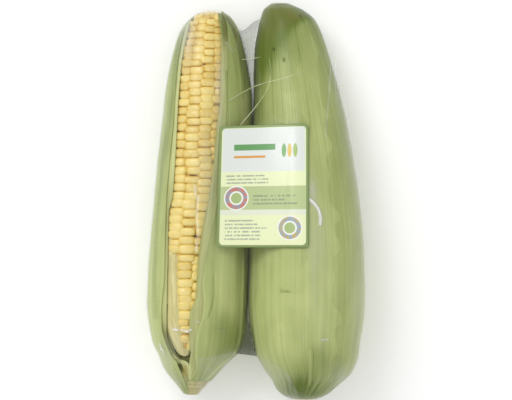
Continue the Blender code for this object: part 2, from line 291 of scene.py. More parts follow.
# %% Materials
def new_material(name, **sockets):
    """A material with one shader, and a Value to start its sums from."""
    material = bpy.data.materials.new(name)
    material.use_nodes = True
    shader = material.node_tree.nodes["Principled BSDF"]
    for key, value in sockets.items():
        shader.inputs[key.replace("_", " ")].default_value = value
    return material, shader, Value(material.node_tree, None)


def drive(shader, **sockets):
    """Links Values into a shader's sockets."""
    for key, value in sockets.items():
        value.tree.links.new(value.socket, shader.inputs[key.replace("_", " ")])


print("new_material and drive are ready")

# %% [markdown]
# ## How a husk looks
#
# A fresh husk leaf is satin, with fine veins about a millimetre apart that all run to the stem and the tip.
# Faint, broader bands of paler and deeper green lie across them. The lower half is painted paler, a painted sheen of
# the film over it, and the tips are deeper.
# The veins follow the angle round the ear, so they crowd together by themselves where the leaves gather.
# There they grow too fine to tell apart, so their contrast falls with the ear's radius.

# %% Husk material
RIBS_PER_MM = 2 * math.pi / 1.7
# NEAR_BLACK is mostly painted shade for folds and hollows; SPECK is the husk's own small specks.
NEAR_BLACK, SPECK = (0.030, 0.028, 0.006, 1), (0.13, 0.12, 0.03, 1)


def husk_material(name, deep, pale, brown, seed):
    """Veins are noise stretched about 100 times along the leaf. Bands are three times as wide, and ribs are a sine.

    Veins and ribs fade towards the stem. A tone below 0 goes on past the deep green towards near black: painted
    shade in folds and hollows, and the darkest of tips and blemishes.
    """
    material, shader, start = new_material(name, Roughness=0.45, Specular_IOR_Level=0.3)
    across, along = start.attribute("across"), start.attribute("along")
    tone, shade, spread = (start.attribute(key) for key in ("tone", "shade", "spread"))
    veins = start.noise(across * 0.85, along * 0.008, seed, 3.0, 0.6)
    fine = start.noise(across * 2.4, along * 0.03, seed + 5.0, 2.0)
    bands = start.noise(across * 0.28, along * 0.005, seed + 9.0, 1.0)
    blotches = start.noise(across * 0.10, along * 0.04, seed + 3.0, 2.0)
    ribs = (across * RIBS_PER_MM + bands * 8.0).maths("SINE")
    fading = along.ramp(-40, 60, 0.65, 1.0)
    crowded = ((veins - 0.5) * 0.38 + (fine - 0.5) * 0.34) * fading
    crowded = crowded + ribs * fine.ramp(0.3, 0.7, 0.4, 1.6) * along.ramp(-40, 60, 0.015, 0.06)
    light = tone + crowded * spread + (bands - 0.5) * 0.40 + (blotches - 0.5) * 0.40
    colour = light.make("MapRange", {0: light, 1: 0.0, 2: 1.0}).between(deep, pale)
    colour = (0.0 - light).ramp(0.0, 0.9).between(colour, NEAR_BLACK)
    colour = (shade + (blotches - 0.5) * 0.5).ramp(0.3, 1.1).between(colour, brown)
    specks = start.noise(across * 0.8, along * 0.5, seed + 20.0, 1.0).ramp(0.77, 0.81)
    colour = (specks * 0.5).between(colour, SPECK)
    relief = (veins * 0.7 + fine * 0.4) * spread.power(3.0)
    drive(shader, Base_Color=colour, Normal=relief.bump(0.5, 0.3), Roughness=fine.ramp(0.3, 0.7, 0.4, 0.52))
    return material


HUSK = husk_material("fresh_husk", deep=(0.120, 0.175, 0.012, 1), pale=(0.56, 0.62, 0.245, 1),
                     brown=(0.17, 0.16, 0.030, 1), seed=1.0)
PALE_HUSK = husk_material("inner_husk", deep=(0.16, 0.17, 0.030, 1), pale=(0.64, 0.67, 0.29, 1),
                          brown=(0.42, 0.33, 0.08, 1), seed=40.0)
print("husk materials:", HUSK.name, PALE_HUSK.name)

# %% [markdown]
# ## Marks that follow a path
#
# Creases, stains and pale edges run along lines that the photo shows from above. Painting them would need an image.
# A mark is instead the distance from a smooth path through a few places, turned into a bell curve across it.

# %% Paths seen from above
MM_PER_PIXEL = 0.603
PHOTO_WIDE, PHOTO_HIGH = 512, 400


def bell(at, middle, width):
    """1 at the middle, and a bell curve down to 0 on both sides of it."""
    return np.exp(-((at - middle) / width) ** 2)


def bent_path(corners, count):
    """A smooth path through a few (x, y) corners, by their distance along it."""
    corners = np.array(corners, float)
    far = np.concatenate([[0], np.cumsum(np.linalg.norm(np.diff(corners, axis=0), axis=1))])
    at = np.linspace(0, far[-1], count)
    return np.stack([through(list(zip(far, corners[:, axis])), at) for axis in (0, 1)], axis=-1)


def pixel(column, row):
    """A place in the photo as millimetres seen from above."""
    return (column - (PHOTO_WIDE - 1) / 2) * MM_PER_PIXEL, (PHOTO_HIGH / 2 - row) * MM_PER_PIXEL


def near_path(x, y, pixels, width):
    """1 on a path through these pixels, seen from above, and a bell curve of this width across it."""
    path = bent_path([pixel(*corner) for corner in pixels], 60)
    x, y = np.broadcast_arrays(x, y)
    return bell(np.min(np.hypot(x[..., None] - path[:, 0], y[..., None] - path[:, 1]), axis=-1), 0, width)


print("the photo's middle is at", pixel(255.5, 200))

# %% [markdown]
# ## A leaf of a husk
#
# A husk is a stack of leaves that each wrap part of the way round. What shows is where one leaf's edge ends.
# So each leaf is its own thick sheet, at its own depth, between two edges that are angles varying along the ear.
# The free edges stand up by a hair and wander a little, which gives the thin lines of shade beside them.

# %% Leaf surfaces
LEAF_THICKNESS = 0.35
SHALLOWEST = 0.2


def places_along(first, last, count):
    """Places from first to last, as a column: they lie closer together at both ends."""
    t = np.linspace(0, 1, count)[:, None]
    return first + (last - first) * (0.5 * t + 0.25 * (1 - np.cos(np.pi * t)))


def seen_x(ear, degrees, y):
    """The x of a point of an ear's form."""
    return ear.middle(y) + ear.radius(y) * np.cos(np.radians(degrees))


def leaf(name, ear, low, high, depth, span, material, tone=0.5, seed=0, columns=70, closed=False, pleats=(17, 0.4),
         lift=lambda y: 0.18, rim=0.0, dents=(), tints=(), browns=()):
    """A leaf at angle low(y) to high(y): its point is the ear's form, less its depth, plus pleats and waves.

    Pleats are cosines of the angle that grow towards the stem, with painted light and shade on them. Waves are slow
    sines along the edge.
    The edges rise by lift(y), or dive into the leaf below where it is negative. A rim makes them paler low down.
    Dents are depths, tints are changes of tone and browns are stains, all worked out from x, y and the angle.
    """
    y = places_along(*span, 190)
    across = np.linspace(0, 1, columns + 1)[None, :]
    if closed:
        across = across[:, :-1]
    degrees = low(y) + (high(y) - low(y)) * across
    angle = np.radians(degrees)
    x = seen_x(ear, degrees, y)
    small = np.clip(ear.radius(y) / 14, 0.15, 1)
    gathered = 1 - rise(ear.stem_end + 2, ear.stem_end + 30, y)
    count, height = pleats
    ribbing = np.cos(count * angle + 0.02 * y + seed) + 0.5 * np.cos(2.3 * count * angle - 0.05 * y + 2 * seed)
    folds = height * gathered * small * ribbing
    edge = 0 if closed else np.exp(-across / 0.03) + np.exp(-(1 - across) / 0.03)
    waves = 0.18 * np.sin(0.11 * y + 3 * angle + seed) + 0.10 * np.sin(0.31 * y - 5 * angle + 2 * seed)
    deep = depth * small + 0.25 - folds * 0.5 - waves * small * 0.5 - edge * lift(y) * small
    deep = np.maximum(deep, SHALLOWEST)
    for dent in dents:
        deep = deep + dent(x, y, degrees)
    tip = rise(60, ear.tip_end, y)
    # The lower half is painted paler, a painted sheen of the film; the tips are the leaf's own deeper green.
    lightness = tone + 0.20 * (1 - rise(-70, 50, y)) - 0.20 * tip - 0.30 * gathered ** 3
    paler = 0 if closed else 1.6 * np.exp(-across / 0.035) + np.exp(-(1 - across) / 0.03)
    # Painted light and shade on the pleats: lighter on their crests and darker in their troughs.
    lightness = lightness + 0.14 * gathered ** 2 * ribbing + rim * paler * (1 - rise(-50, -30, y))
    shade = 0.35 * tip ** 2 + 0.35 * gathered ** 4 + 0 * x
    for tint in tints:
        lightness = lightness + tint(x, y, degrees)
    for brown in browns:
        shade = shade + brown(x, y, degrees)
    piece = grid(name, ear.points(degrees, y, deep), around=closed, poles=closed, across=degrees * 0.55,
                 along=y + 0 * x, tone=lightness, shade=shade, spread=np.clip(ear.radius(y) / 26, 0.1, 1))
    if not closed:
        thicken(piece, LEAF_THICKNESS)
    return place(piece, material)


print("leaf(name, ear, low, high, depth, span, material) is ready")

# %% Leaf edges
def at_x(ear, stations, turns=0):
    """An edge that passes these (y, x) stations, as seen from above, on the ear's upper side."""
    return lambda y: ear.angle_at(through(stations, y), y) + 360 * turns


def at_angle(*stations):
    """An edge at these (y, degrees) stations."""
    return lambda y: through(stations, y)


def level(angle):
    """An edge at the same angle all along."""
    return lambda y: angle + 0 * y


def upper(degrees):
    """1 on the upper side of an ear and 0 on the lower one."""
    return rise(-0.1, 0.2, np.sin(np.radians(degrees)))


print("at_x, at_angle, level and upper are ready")

# %% [markdown]
# ## The left husk, cut open
#
# Its window runs from the tip to near the stem. An outer leaf ends on the left of it with a dark line of shade.
# Inside that, a paler inner leaf goes down to the cob. On the right two leaves end one behind the other.
# Low down the left leaf turns under the round end of the cob, which leaves a crescent with nested edges in it,
# darkened with painted shade.
# There a small three-sided gap parts two folds, and the leaves stop short of the stem on the right.
# In the valley the right leaf's pale edge stands off the leaf below it, and so catches the light.

# %% Left husk's edges
WINDOW_LEFT = [(-98.5, -40.2), (-96.6, -41.0), (-95.4, -46.0), (-88.6, -51.6), (-78.4, -54.2), (-60.0, -53.9),
               (-8.0, -53.0), (2.0, -50.6), (24.1, -49.1), (43.4, -48.2), (82.0, -45.8), (111.0, -40.0)]
WINDOW_RIGHT = [(-116.0, -40.9), (-105.5, -40.9), (-96.5, -40.0), (-88.0, -38.6), (-67.5, -38.0), (-57.9, -34.6),
                (-38.6, -33.4), (-19.3, -31.0), (0.0, -27.1), (24.0, -23.8), (43.4, -22.3), (60.3, -20.2),
                (101.3, -19.6), (114.0, -22.6)]
OUTER_LEFT = [(-116.0, -41.0), (-110.0, -42.8), (-104.9, -44.6), (-99.5, -47.0), (-96.8, -48.0), (-93.5, -50.8),
              (-83.8, -54.9), (-76.6, -56.6), (-66.3, -56.8), (-46.4, -55.2), (-30.2, -54.9), (0.0, -54.0),
              (24.1, -52.2), (43.4, -50.2), (82.0, -47.8), (111.0, -42.3)]
OUTER_RIGHT = [(-110.0, -39.6), (-106.1, -38.4), (-99.5, -35.6), (-92.0, -36.4), (-85.6, -36.0), (-75.4, -33.9),
               (-68.7, -31.6), (-60.3, -30.8), (-51.9, -31.6), (-37.4, -30.0), (-24.1, -27.4), (-9.0, -24.2),
               (6.0, -21.8), (24.1, -19.4), (42.2, -17.0), (60.3, -16.4), (84.4, -16.0), (102.5, -16.4),
               (114.6, -19.0)]
VALLEY_EDGE = [(-108.4, -29.0), (-104.0, -24.6), (-98.0, -18.0), (-93.0, -12.6), (-88.0, -10.6), (-76.5, -8.4),
               (-60.0, -7.0), (-34.0, -6.6), (0.0, -7.0), (60.0, -8.0), (100.0, -13.0), (114.0, -21.0)]
TOP_END = 113.4
print("the window is", round(float(through(WINDOW_RIGHT, 0) - through(WINDOW_LEFT, 0)), 1), "mm wide halfway up")

# %% Marks on the inner leaf
GAP_DEPTH = 1.7


def fold_gap(x, y, degrees):
    """A three-sided hollow beside the left leaf's edge, low down."""
    beside = x - through(OUTER_LEFT, y)
    inside = rise(-1.5, -0.2, beside) * (1 - rise(1.2, 3.2, beside)) * upper(degrees)
    return GAP_DEPTH * inside * rise(-105.5, -101.0, y) * (1 - rise(-98.6, -96.9, y))


def beside_stub(x, y, degrees):
    """The inner leaf stops short of the stub on the right, so there it goes on inside the stub."""
    return 2.0 * rise(-41.5, -40.0, x) * (1 - rise(-109.0, -107.5, y))


def fold_brown(x, y, degrees):
    """The worn husk to the right of the hollow."""
    beside = rise(-47, -44, x) * (1 - rise(-42.0, -40.4, x))
    return 0.75 * upper(degrees) * beside * rise(-110, -104, y) * (1 - rise(-99.5, -97.8, y))


def pale_fold(x, y, degrees):
    """The pale fold above the hollow, which runs on down beside it."""
    fold = [(173, 355.5), (178, 356.5), (183, 359), (187.5, 363), (189.8, 369), (190, 378)]
    return 0.45 * near_path(x, y, fold, 1.1) * upper(degrees)


def inner_shade(x, y, degrees):
    """The inner leaf: deep at the tip on the right, painted shade by the crescent, pale on the left, and near black
    painted shade in the hollow.
    """
    right = (0.12 * rise(0, 40, y) - 0.55 * rise(88, 104, y)) * rise(-40, -30, x)
    # The crescent and the hollow are darkened with painted shade.
    crescent = 0.50 * rise(-70, -82, y) * rise(-42, -46, x) * rise(-98, -95, y)
    left = 0.40 * rise(-10, 30, y) * (1 - rise(-38, -36, x))
    return right - crescent + left - fold_gap(x, y, degrees) / GAP_DEPTH


print("the hollow is", GAP_DEPTH, "mm deep")

# %% Marks on the outer leaves
def cup(x, y, degrees):
    """The innermost leaf falls away under the cob, like the wall of a bowl."""
    return 9.0 * rise(-98.5, -84.0, y)


def deep_strip(x, y, degrees):
    """A deeper green band along the middle of the left leaf."""
    band = [(178, 32), (173, 70), (169.3, 115), (162, 160), (157, 210), (154, 276), (155, 315)]
    return -0.34 * near_path(x, y, band, 1.9) * upper(degrees)


def worn_band(x, y, degrees):
    """A brownish band high up on the right leaf, beside the valley."""
    return 0.42 * near_path(x, y, [(233, 55), (238, 80), (241.5, 105)], 1.7) * upper(degrees)


print("cup, deep_strip and worn_band are ready")

# %% Marks beside the valley
def away(degrees, middle):
    """How many degrees lie between two angles, the short way round, with its sign."""
    return (degrees - middle + 180) % 360 - 180


def pale_edge(x, y, degrees):
    """The right leaf's edge in the valley is pale where the light catches it, low down."""
    return 1.1 * bell(x, through(VALLEY_EDGE, y), 1.0) * (1 - rise(-50, -28, y)) * upper(degrees)


def valley_bulge(y, degrees):
    """The valley leaf stands off low down, up to this far towards the other ear."""
    return 2.4 * rise(-100, -91, y) * (1 - rise(-84, -66, y)) * bell(away(degrees, 0), 0, 26)


def valley_shade(x, y, degrees):
    """The right leaf is painted deeper green low down beside the valley, a painted shade, and paler above that."""
    deeper = 0.34 * rise(-34, -16, x) * rise(-100, -88, y) * (1 - rise(-82, -62, y))
    paler = 0.26 * rise(-26, -18, x) * (1 - rise(-13, -10, x)) * rise(-74, -60, y) * (1 - rise(-22, 0, y))
    return paler - deeper


def s_crease(x, y, degrees):
    """One soft, bent crease in the right leaf, and a small scratch."""
    bend = near_path(x, y, [(214.5, 275), (215.2, 291), (213.2, 304), (209, 316)], 0.7)
    scratch = near_path(x, y, [(213, 324.5), (219, 327), (226, 327.5)], 0.4)
    return (0.40 * bend + 0.20 * scratch) * upper(degrees)


print("the valley leaf stands off by up to", round(float(valley_bulge(-87.0, 0.0)), 1), "mm")

# %% Left husk
# The cup and the third leaf lie in the hollow under the cob's end: their low tones are painted shade there, and the
# cup is also stained brown.
left_cup = leaf("left_cup_leaf", LEFT, level(20), level(200), 2.3,
                (-96.8, -78.0), PALE_HUSK, tone=-0.25, seed=0, dents=[cup], browns=[lambda x, y, a: 0.35 + 0 * x])
left_third = leaf("left_third_leaf", LEFT, lambda y: at_x(LEFT, WINDOW_LEFT)(y) - 2.6 * rise(-76, -84, y),
                  level(230), 2.0, (-96.4, -62.0), PALE_HUSK, tone=-0.10, seed=11)
left_inner = leaf("left_inner_leaf", LEFT, at_x(LEFT, WINDOW_LEFT), at_x(LEFT, WINDOW_RIGHT, 1), 1.15,
                  (-116.2, TOP_END - 0.6), PALE_HUSK, tone=0.50, seed=1, columns=150, pleats=(13, 0.4),
                  dents=[fold_gap, beside_stub], browns=[fold_brown],
                  tints=[inner_shade, pale_fold])
left_leaf = leaf("left_outer_leaf", LEFT, at_x(LEFT, OUTER_LEFT), at_angle((-117, 262), (114, 240)), 0.55,
                 (-116.6, TOP_END), HUSK, tone=0.66, seed=2, pleats=(13, 0.4), tints=[deep_strip])
right_leaf = leaf("left_right_leaf", LEFT, at_x(LEFT, VALLEY_EDGE), at_x(LEFT, OUTER_RIGHT), 0.60,
                  (-108.4, TOP_END + 0.4), HUSK, tone=0.50, seed=3, columns=130, pleats=(13, 0.3), rim=0.60,
                  lift=lambda y: 0.18 + 0.22 * (1 - rise(-50, -30, y)),
                  dents=[s_crease, lambda x, y, a: -0.85 * valley_bulge(y, a)], browns=[worn_band],
                  tints=[pale_edge, valley_shade, lambda x, y, a: -0.55 * s_crease(x, y, a)])
valley_leaf = leaf("left_valley_leaf", LEFT, level(250), level(425),
                   1.15, (-108.8, 112.0), HUSK, tone=0.42, seed=4, columns=100,
                   dents=[lambda x, y, a: -0.85 * rise(285, 310, a) * (1 - rise(370, 382, a)),
                          lambda x, y, a: -valley_bulge(y, a)])
under_leaf = leaf("left_under_leaf", LEFT, at_angle((-117, 205), (114, 200)), at_angle((-117, 285), (114, 300)),
                  0.25, (-115.0, 111.0), HUSK, tone=0.35, seed=5)
left_husk = (left_cup, left_third, left_inner, left_leaf, right_leaf, valley_leaf, under_leaf)
print("left husk:", [piece.name for piece in left_husk])

# %% [markdown]
# ## The right husk
#
# This ear is whole. One broad leaf covers its left and middle, and its edge shows only low down, where it lifts.
# A second leaf is the paler band beside it, and a third, greener one covers the right side.
# Where an edge hardly shows, it dives into the leaf below, so that only the green changes. The tip is deeper green,
# down to a slanting line on the left.

# %% Right husk's edges and marks
CREST_EDGE = [(-118.0, 33.0), (-114.0, 33.8), (-86.0, 34.0), (-74.0, 31.0), (-20.0, 30.2), (30.0, 30.0),
              (80.0, 27.0), (112.0, 22.0), (118.0, 16.0)]
SIDE_EDGE = [(-116.0, 42.0), (-100.0, 45.0), (-70.0, 45.2), (-20.0, 45.0), (30.0, 41.0), (84.0, 36.5),
             (112.0, 27.0), (118.0, 18.0)]
DARK_TIP = [(-120.0, -20.0), (20.0, -4.0), (50.0, 2.0), (70.0, 6.0), (83.2, 11.8), (101.9, 21.6), (110.0, 34.0),
            (119.0, 60.0)]


def dark_tip(x, y, degrees):
    """The deeper green of the tip, left of a slanting line."""
    return -0.50 * (1 - rise(-8.0, 6.0, x - through(DARK_TIP, y))) - 0.12 * rise(60, 100, y)


def olive_tip(x, y, degrees):
    """The tip is duller as well as deeper."""
    return 0.34 * (1 - rise(-10.0, 4.0, x - through(DARK_TIP, y))) * rise(30, 60, y)


def dark_base(x, y, degrees):
    """Deeper green where the leaves gather at the stem, a patch to the right of it, and a pale ridge between."""
    patch = 0.38 * bell(x, 39, 8) * bell(y, -92, 9)
    by_stem = 0.34 * bell(x, 25, 7) * bell(y, -112, 10)
    ridge = 0.22 * near_path(x, y, [(308.2, 349), (309.0, 366), (308.0, 382)], 0.6) * upper(degrees)
    return ridge - patch - by_stem - 0.44 * (1 - rise(-114, -82, y)) * bell(x, 32, 20)


def dark_spots(x, y, degrees):
    """Three small, round blemishes near the tip."""
    spots = [pixel(283, 61), pixel(272.5, 50), pixel(300, 16)]
    return -0.9 * sum(bell(x, spot_x, 0.85) * bell(y, spot_y, 0.85) for spot_x, spot_y in spots)


def scratch(x, y, degrees):
    """A short, dark, wavy scratch."""
    line = [(279.5, 288.5), (282.5, 290.5), (285.5, 289.8), (288.5, 291)]
    return -0.42 * near_path(x, y, line, 0.75) * upper(degrees)


def dive(y):
    """An edge that hardly shows goes down into the leaf below."""
    return -0.20 + 0 * y


def dive_then_lift(y):
    """The broad leaf's edge lies close, but stands up near the stem."""
    return -0.20 + 0.45 * (1 - rise(-92, -84, y))


print("the broad leaf's edge stands up by", round(float(dive_then_lift(-118.0)), 2), "mm near the stem")

# %% Right husk
right_core = leaf("right_inner_leaf", RIGHT, level(0), level(360), 1.3,
                  (-119.4, 119.0), PALE_HUSK, tone=0.40, seed=6, columns=170, closed=True,
                  tints=[lambda x, y, a: -0.60 * rise(100, 114, y)],
                  browns=[lambda x, y, a: -0.7 * rise(100, 114, y)])
broad_leaf = leaf("right_broad_leaf", RIGHT, at_x(RIGHT, CREST_EDGE), at_angle((-120, 232), (120, 222)), 0.30,
                  (-119.0, 118.6), HUSK, tone=0.60, seed=7, columns=150, pleats=(33, 0.35), lift=dive_then_lift,
                  dents=[lambda x, y, a: -0.25 * bell(a, 180, 14)],
                  tints=[dark_tip, dark_base, scratch, dark_spots], browns=[olive_tip])
band_leaf = leaf("right_band_leaf", RIGHT, lambda y: at_x(RIGHT, SIDE_EDGE)(y) - 14,
                 at_angle((-120, 128), (120, 118)), 0.40, (-118.8, 118.2), HUSK, tone=0.66, seed=8,
                 pleats=(33, 0.35), lift=dive, tints=[dark_tip, dark_base, dark_spots], browns=[olive_tip])
side_leaf = leaf("right_side_leaf", RIGHT, at_angle((-120, -72), (120, -60)), at_x(RIGHT, SIDE_EDGE), 0.30,
                 (-118.6, 118.4), HUSK, tone=0.52, seed=9, columns=120, pleats=(29, 0.3), lift=dive,
                 tints=[dark_tip, dark_base])
back_leaf = leaf("right_under_leaf", RIGHT, at_angle((-120, 205), (120, 210)), at_angle((-120, 310), (120, 296)),
                 0.10, (-118.0, 117.0), HUSK, tone=0.35, seed=10)
print("right husk:", [piece.name for piece in (right_core, broad_leaf, band_leaf, side_leaf, back_leaf)])

# %% [markdown]
# ## The cob and its kernels
#
# The cob lies against the inside of the husk, a little to the left of the ear's middle, with 14 rows of kernels.
# A kernel is wider than it is long and has a square outline with soft corners, so a superellipsoid suits it.
# That is a ball whose sines and cosines are raised to a small power. Seeded draws make each kernel different.

# %% The cob's form
COB_RADII = [(-93.2, 1.5), (-92.3, 4.0), (-88.6, 7.6), (-83.1, 11.2), (-77.0, 14.6), (-70.0, 17.4), (-60.0, 19.4),
             (0.0, 19.8), (53.0, 18.4), (81.0, 17.4), (100.0, 15.0), (107.0, 12.5), (111.0, 10.0), (113.2, 7.4),
             (114.3, 4.6)]
COB_MIDDLES = [(-93.2, -42.4), (-84.0, -42.2), (-42.0, -42.4), (-24.7, -41.0), (3.0, -38.4), (26.5, -35.9),
               (53.7, -33.3), (81.4, -31.5), (100.7, -30.4), (115.0, -27.4)]
UNDER_FILM = 2.0


def cob_axis(y):
    """Where the cob's axis lies: the cob touches the inside of the husk."""
    x = through(COB_MIDDLES, y)
    room = np.maximum(LEFT.radius(y) - through(COB_RADII, y) - UNDER_FILM, 0)
    return x, LEFT.axis_height(y) + np.sqrt(np.maximum(room ** 2 - (x - LEFT.middle(y)) ** 2, 0))


def cob_points(angle, y, depth):
    """Points round the cob, where angle 0 is straight up and grows towards +X."""
    x, z = cob_axis(y)
    radius = np.maximum(through(COB_RADII, y) - depth, 0.4)
    return np.stack([x + radius * np.sin(angle), y + 0 * angle * x, z + radius * np.cos(angle)], axis=-1)


print("the cob is", 2 * max(radius for _, radius in COB_RADII), "mm thick")

# %% Kernel places
KERNELS_LEFT = [(-92.0, -47.0), (-84.0, -46.2), (-72.4, -46.4), (-60.3, -46.9), (-36.0, -47.4), (-32.0, -52.4),
                (0.0, -53.2), (24.0, -55.2), (60.0, -54.0), (114.0, -46.5)]
ROW_TWIST = [(-90.0, 0.0), (3.0, 0.0), (50.0, 0.5), (115.0, 0.5)]
ROW_COUNT = 14
chance = np.random.default_rng(20)


def kernel_rings():
    """The places and lengths of the kernels of one row: 5.3 mm long at the stem and 4.5 mm at the tip."""
    places, y = [], -89.5
    while y < 114.0:
        pitch = 5.25 - 0.8 * (y + 87) / 200
        places.append((y, pitch))
        y += pitch
    return np.array(places)


def kernel_places():
    """Each kernel's place along the cob, length, angle round it, crown radius, slope of the cob, and breadth."""
    rings = kernel_rings()
    row = np.repeat(np.arange(-6, 8), len(rings))
    y, pitch = np.tile(rings, (ROW_COUNT, 1)).T
    y = y + pitch * (0.5 * (row % 2) + 0.30 * np.sin(1.7 * row + 0.045 * y) + chance.normal(0, 0.07, len(y)))
    angle = (row - through(ROW_TWIST, y)) * 2 * np.pi / ROW_COUNT + chance.normal(0, 0.030, len(y))
    crown = through(COB_RADII, y)
    across_cob = cob_axis(y)[0] + crown * np.sin(angle)
    seen = (across_cob > through(KERNELS_LEFT, y) + 1.8) & (y > -88.0) & (np.abs(angle) < 1.5)
    seen = (seen | (y > 109.0)) & (y < 112.4)
    y, pitch, angle, crown = (part[seen] for part in (y, pitch, angle, crown))
    tilt = np.arctan(np.clip((through(COB_RADII, y - 0.6) - through(COB_RADII, y + 0.6)) / 1.2, -0.7, 2.0))
    broad = np.where(y > 100, np.maximum(crown, 5), np.maximum(crown, 9)) * math.tan(math.pi / ROW_COUNT)
    # The blunt tip has a ring of seven kernels and four more in its middle.
    tip = np.array([(113.3, 3.7, 2 * np.pi * k / 7, 6.1, 0.95, 2.8) for k in range(7)]
                   + [(114.2, 3.9, 2 * np.pi * (k + 0.3) / 4, 2.4, 1.40, 2.1) for k in range(4)])
    return np.concatenate([np.stack([y, pitch, angle, crown, tilt, broad], axis=-1), tip]).T


print(len(kernel_rings()), "kernels in a row")

# %% Kernel blocks
KERNEL_HEIGHT = 3.1


def full_turn(count):
    """Angles once round, as a row."""
    return np.linspace(0, 2 * np.pi, count, endpoint=False)[None, :]


def make_kernels():
    """Every kernel is the same rounded block, scaled, turned and set on the cob's crown, square to its slope."""
    y, pitch, angle, crown, tilt, broad = kernel_places()
    x, z = cob_axis(y)
    count = len(y)
    half_across = 1.14 * broad * chance.normal(1, 0.06, count)
    half_along = 0.58 * pitch * chance.normal(1, 0.08, count)
    height = np.minimum(KERNEL_HEIGHT, 0.4 * crown) + chance.normal(0, 0.16, count)
    up = np.linspace(-np.pi / 2, np.pi / 2, 9)[:, None]
    turn = full_turn(12)

    def soft(value, power):
        return np.sign(value) * np.abs(value) ** power

    # The block: x across the row, y along it, z outwards, with a flat crown and upright sides.
    block = np.stack([soft(np.cos(up), 0.50) * soft(np.cos(turn), 0.56),
                      soft(np.cos(up), 0.50) * soft(np.sin(turn), 0.60),
                      soft(np.sin(up), 0.85) + 0 * turn], axis=-1)
    sizes = np.stack([half_across, half_along, height], axis=-1)[:, None, None, :]
    lean = chance.normal(0, 0.07, (count, 2))[:, :, None, None]
    shaped = block[None] * sizes
    shaped[..., 2] += shaped[..., 0] * lean[:, 0] + shaped[..., 1] * lean[:, 1]

    def facing(*parts):
        return np.stack([part + 0 * angle for part in parts], axis=-1)[:, None, None, :]

    outwards = facing(np.sin(angle) * np.cos(tilt), np.sin(tilt), np.cos(angle) * np.cos(tilt))
    forwards = facing(-np.sin(angle) * np.sin(tilt), np.cos(tilt), -np.cos(angle) * np.sin(tilt))
    sideways = facing(np.cos(angle), 0, -np.sin(angle))
    top = facing(x + crown * np.sin(angle), y, z + crown * np.cos(angle))
    placed = (top + shaped[..., 0:1] * sideways + shaped[..., 1:2] * forwards
              + (shaped[..., 2:3] - height[:, None, None, None]) * outwards)
    return placed, block, y


print("make_kernels is ready")

# %% Kernels
placed, block, kernel_y = make_kernels()
kernel_count = len(kernel_y)
kernel_tone = chance.normal(0.38, 0.22, kernel_count) + 0.37 * (1 - rise(-10, 70, kernel_y))
rows, columns = block.shape[:2]
corner = np.arange(rows * columns).reshape(rows, columns)
following = np.roll(corner, -1, axis=1)
quads = np.stack([corner[1:-2], following[1:-2], following[2:-1], corner[2:-1]], axis=-1).reshape(-1, 4)
low_cap, high_cap = corner[1][::-1], corner[-2]
one_kernel = quads.tolist() + [low_cap.tolist(), high_cap.tolist()]
all_faces = [[point + first for point in face]
             for first in range(0, kernel_count * rows * columns, rows * columns) for face in one_kernel]
kernels = mesh_object("kernels", placed.reshape(-1, 3), all_faces, {
    "tone": np.repeat(kernel_tone, rows * columns),
    "crown": np.tile(block[..., 2].ravel(), kernel_count),
    "lengthwise": np.tile(block[..., 1].ravel(), kernel_count)})
print(kernel_count, "kernels,", len(all_faces), "faces")

# %% [markdown]
# ## How kernels look
#
# A kernel is a pale, waxy yellow where it bulges, and amber to brown down in the gaps between its neighbours.
# The block's own height drives that change, so it stays with each kernel. The palest yellow on the crown is partly
# the kernel's own and partly a painted highlight, strongest on the half towards the stem.
# A thin coat gives the small wet highlights.

# %% Kernel material
KERNEL, shader, start = new_material("kernels", Roughness=0.38, Coat_Weight=0.35, Coat_Roughness=0.12)
crown_value, tone_value = start.attribute("crown"), start.attribute("tone")
mottle = start.grain(420.0, 2.0)
bulge = crown_value + (mottle - 0.5) * 0.5
colour = tone_value.ramp(0.0, 1.0).between((0.75, 0.53, 0.11, 1), (0.91, 0.72, 0.22, 1))
# Painted highlight: the crown is paler on the half towards the stem.
stemward_highlight = start.attribute("lengthwise").ramp(0.5, -0.5)
colour = (bulge.ramp(0.70, 1.10) * (0.2 + stemward_highlight * 0.6)).between(colour, (0.94, 0.80, 0.35, 1))
colour = bulge.ramp(-0.1, 0.66).between((0.70, 0.46, 0.09, 1), colour)
drive(shader, Base_Color=colour, Normal=mottle.bump(0.25, 0.2))
place(kernels, KERNEL)
print("kernel material:", KERNEL.name)

# %% [markdown]
# ## The core, the pale strip and the stem
#
# Between the kernels the cob's core shows as thin amber lines. Left of them, low down, lies a smooth, tan membrane.
# It wraps the cob's round end too. All of these are sheets round the cob, each at its own depth under the crowns.
# The window's right side is cut through a stack of leaves, so its wall is a stair of four small steps.
# The stem is a short, ringed stub that sticks out of the gathered leaves.

# %% Sheets round the cob
def round_cob(name, low, high, span, depth, tuck=0.0, rows=150, columns=60, wave=0.0, **values):
    """A sheet round the cob from angle low(y) to high(y), this deep under the crowns.

    Its end may tuck in deeper, and two sines of the angle give it a slight wave.
    """
    y = np.linspace(span[0], span[1], rows)[:, None]
    across = np.linspace(0, 1, columns)[None, :]
    angle = low(y) + (high(y) - low(y)) * across
    depth = depth + tuck * rise(0.88, 1.0, across)
    ripple = wave * (np.sin(9 * angle + 0.03 * y) + 0.6 * np.sin(21 * angle - 0.05 * y))
    points = cob_points(angle, y, depth - ripple * rise(-96, -86, y))
    return grid(name, points, flip=True, across=np.degrees(angle) * 0.4, along=y + 0 * across, **values)


def cob_angle_at(stations, lift=0.0):
    """The angle at which the cob's surface passes these x stations."""
    def angle(y):
        x, _ = cob_axis(y)
        return np.arcsin(np.clip((through(stations, y) + lift - x) / through(COB_RADII, y), -0.98, 0.98))
    return angle


print("round_cob and cob_angle_at are ready")

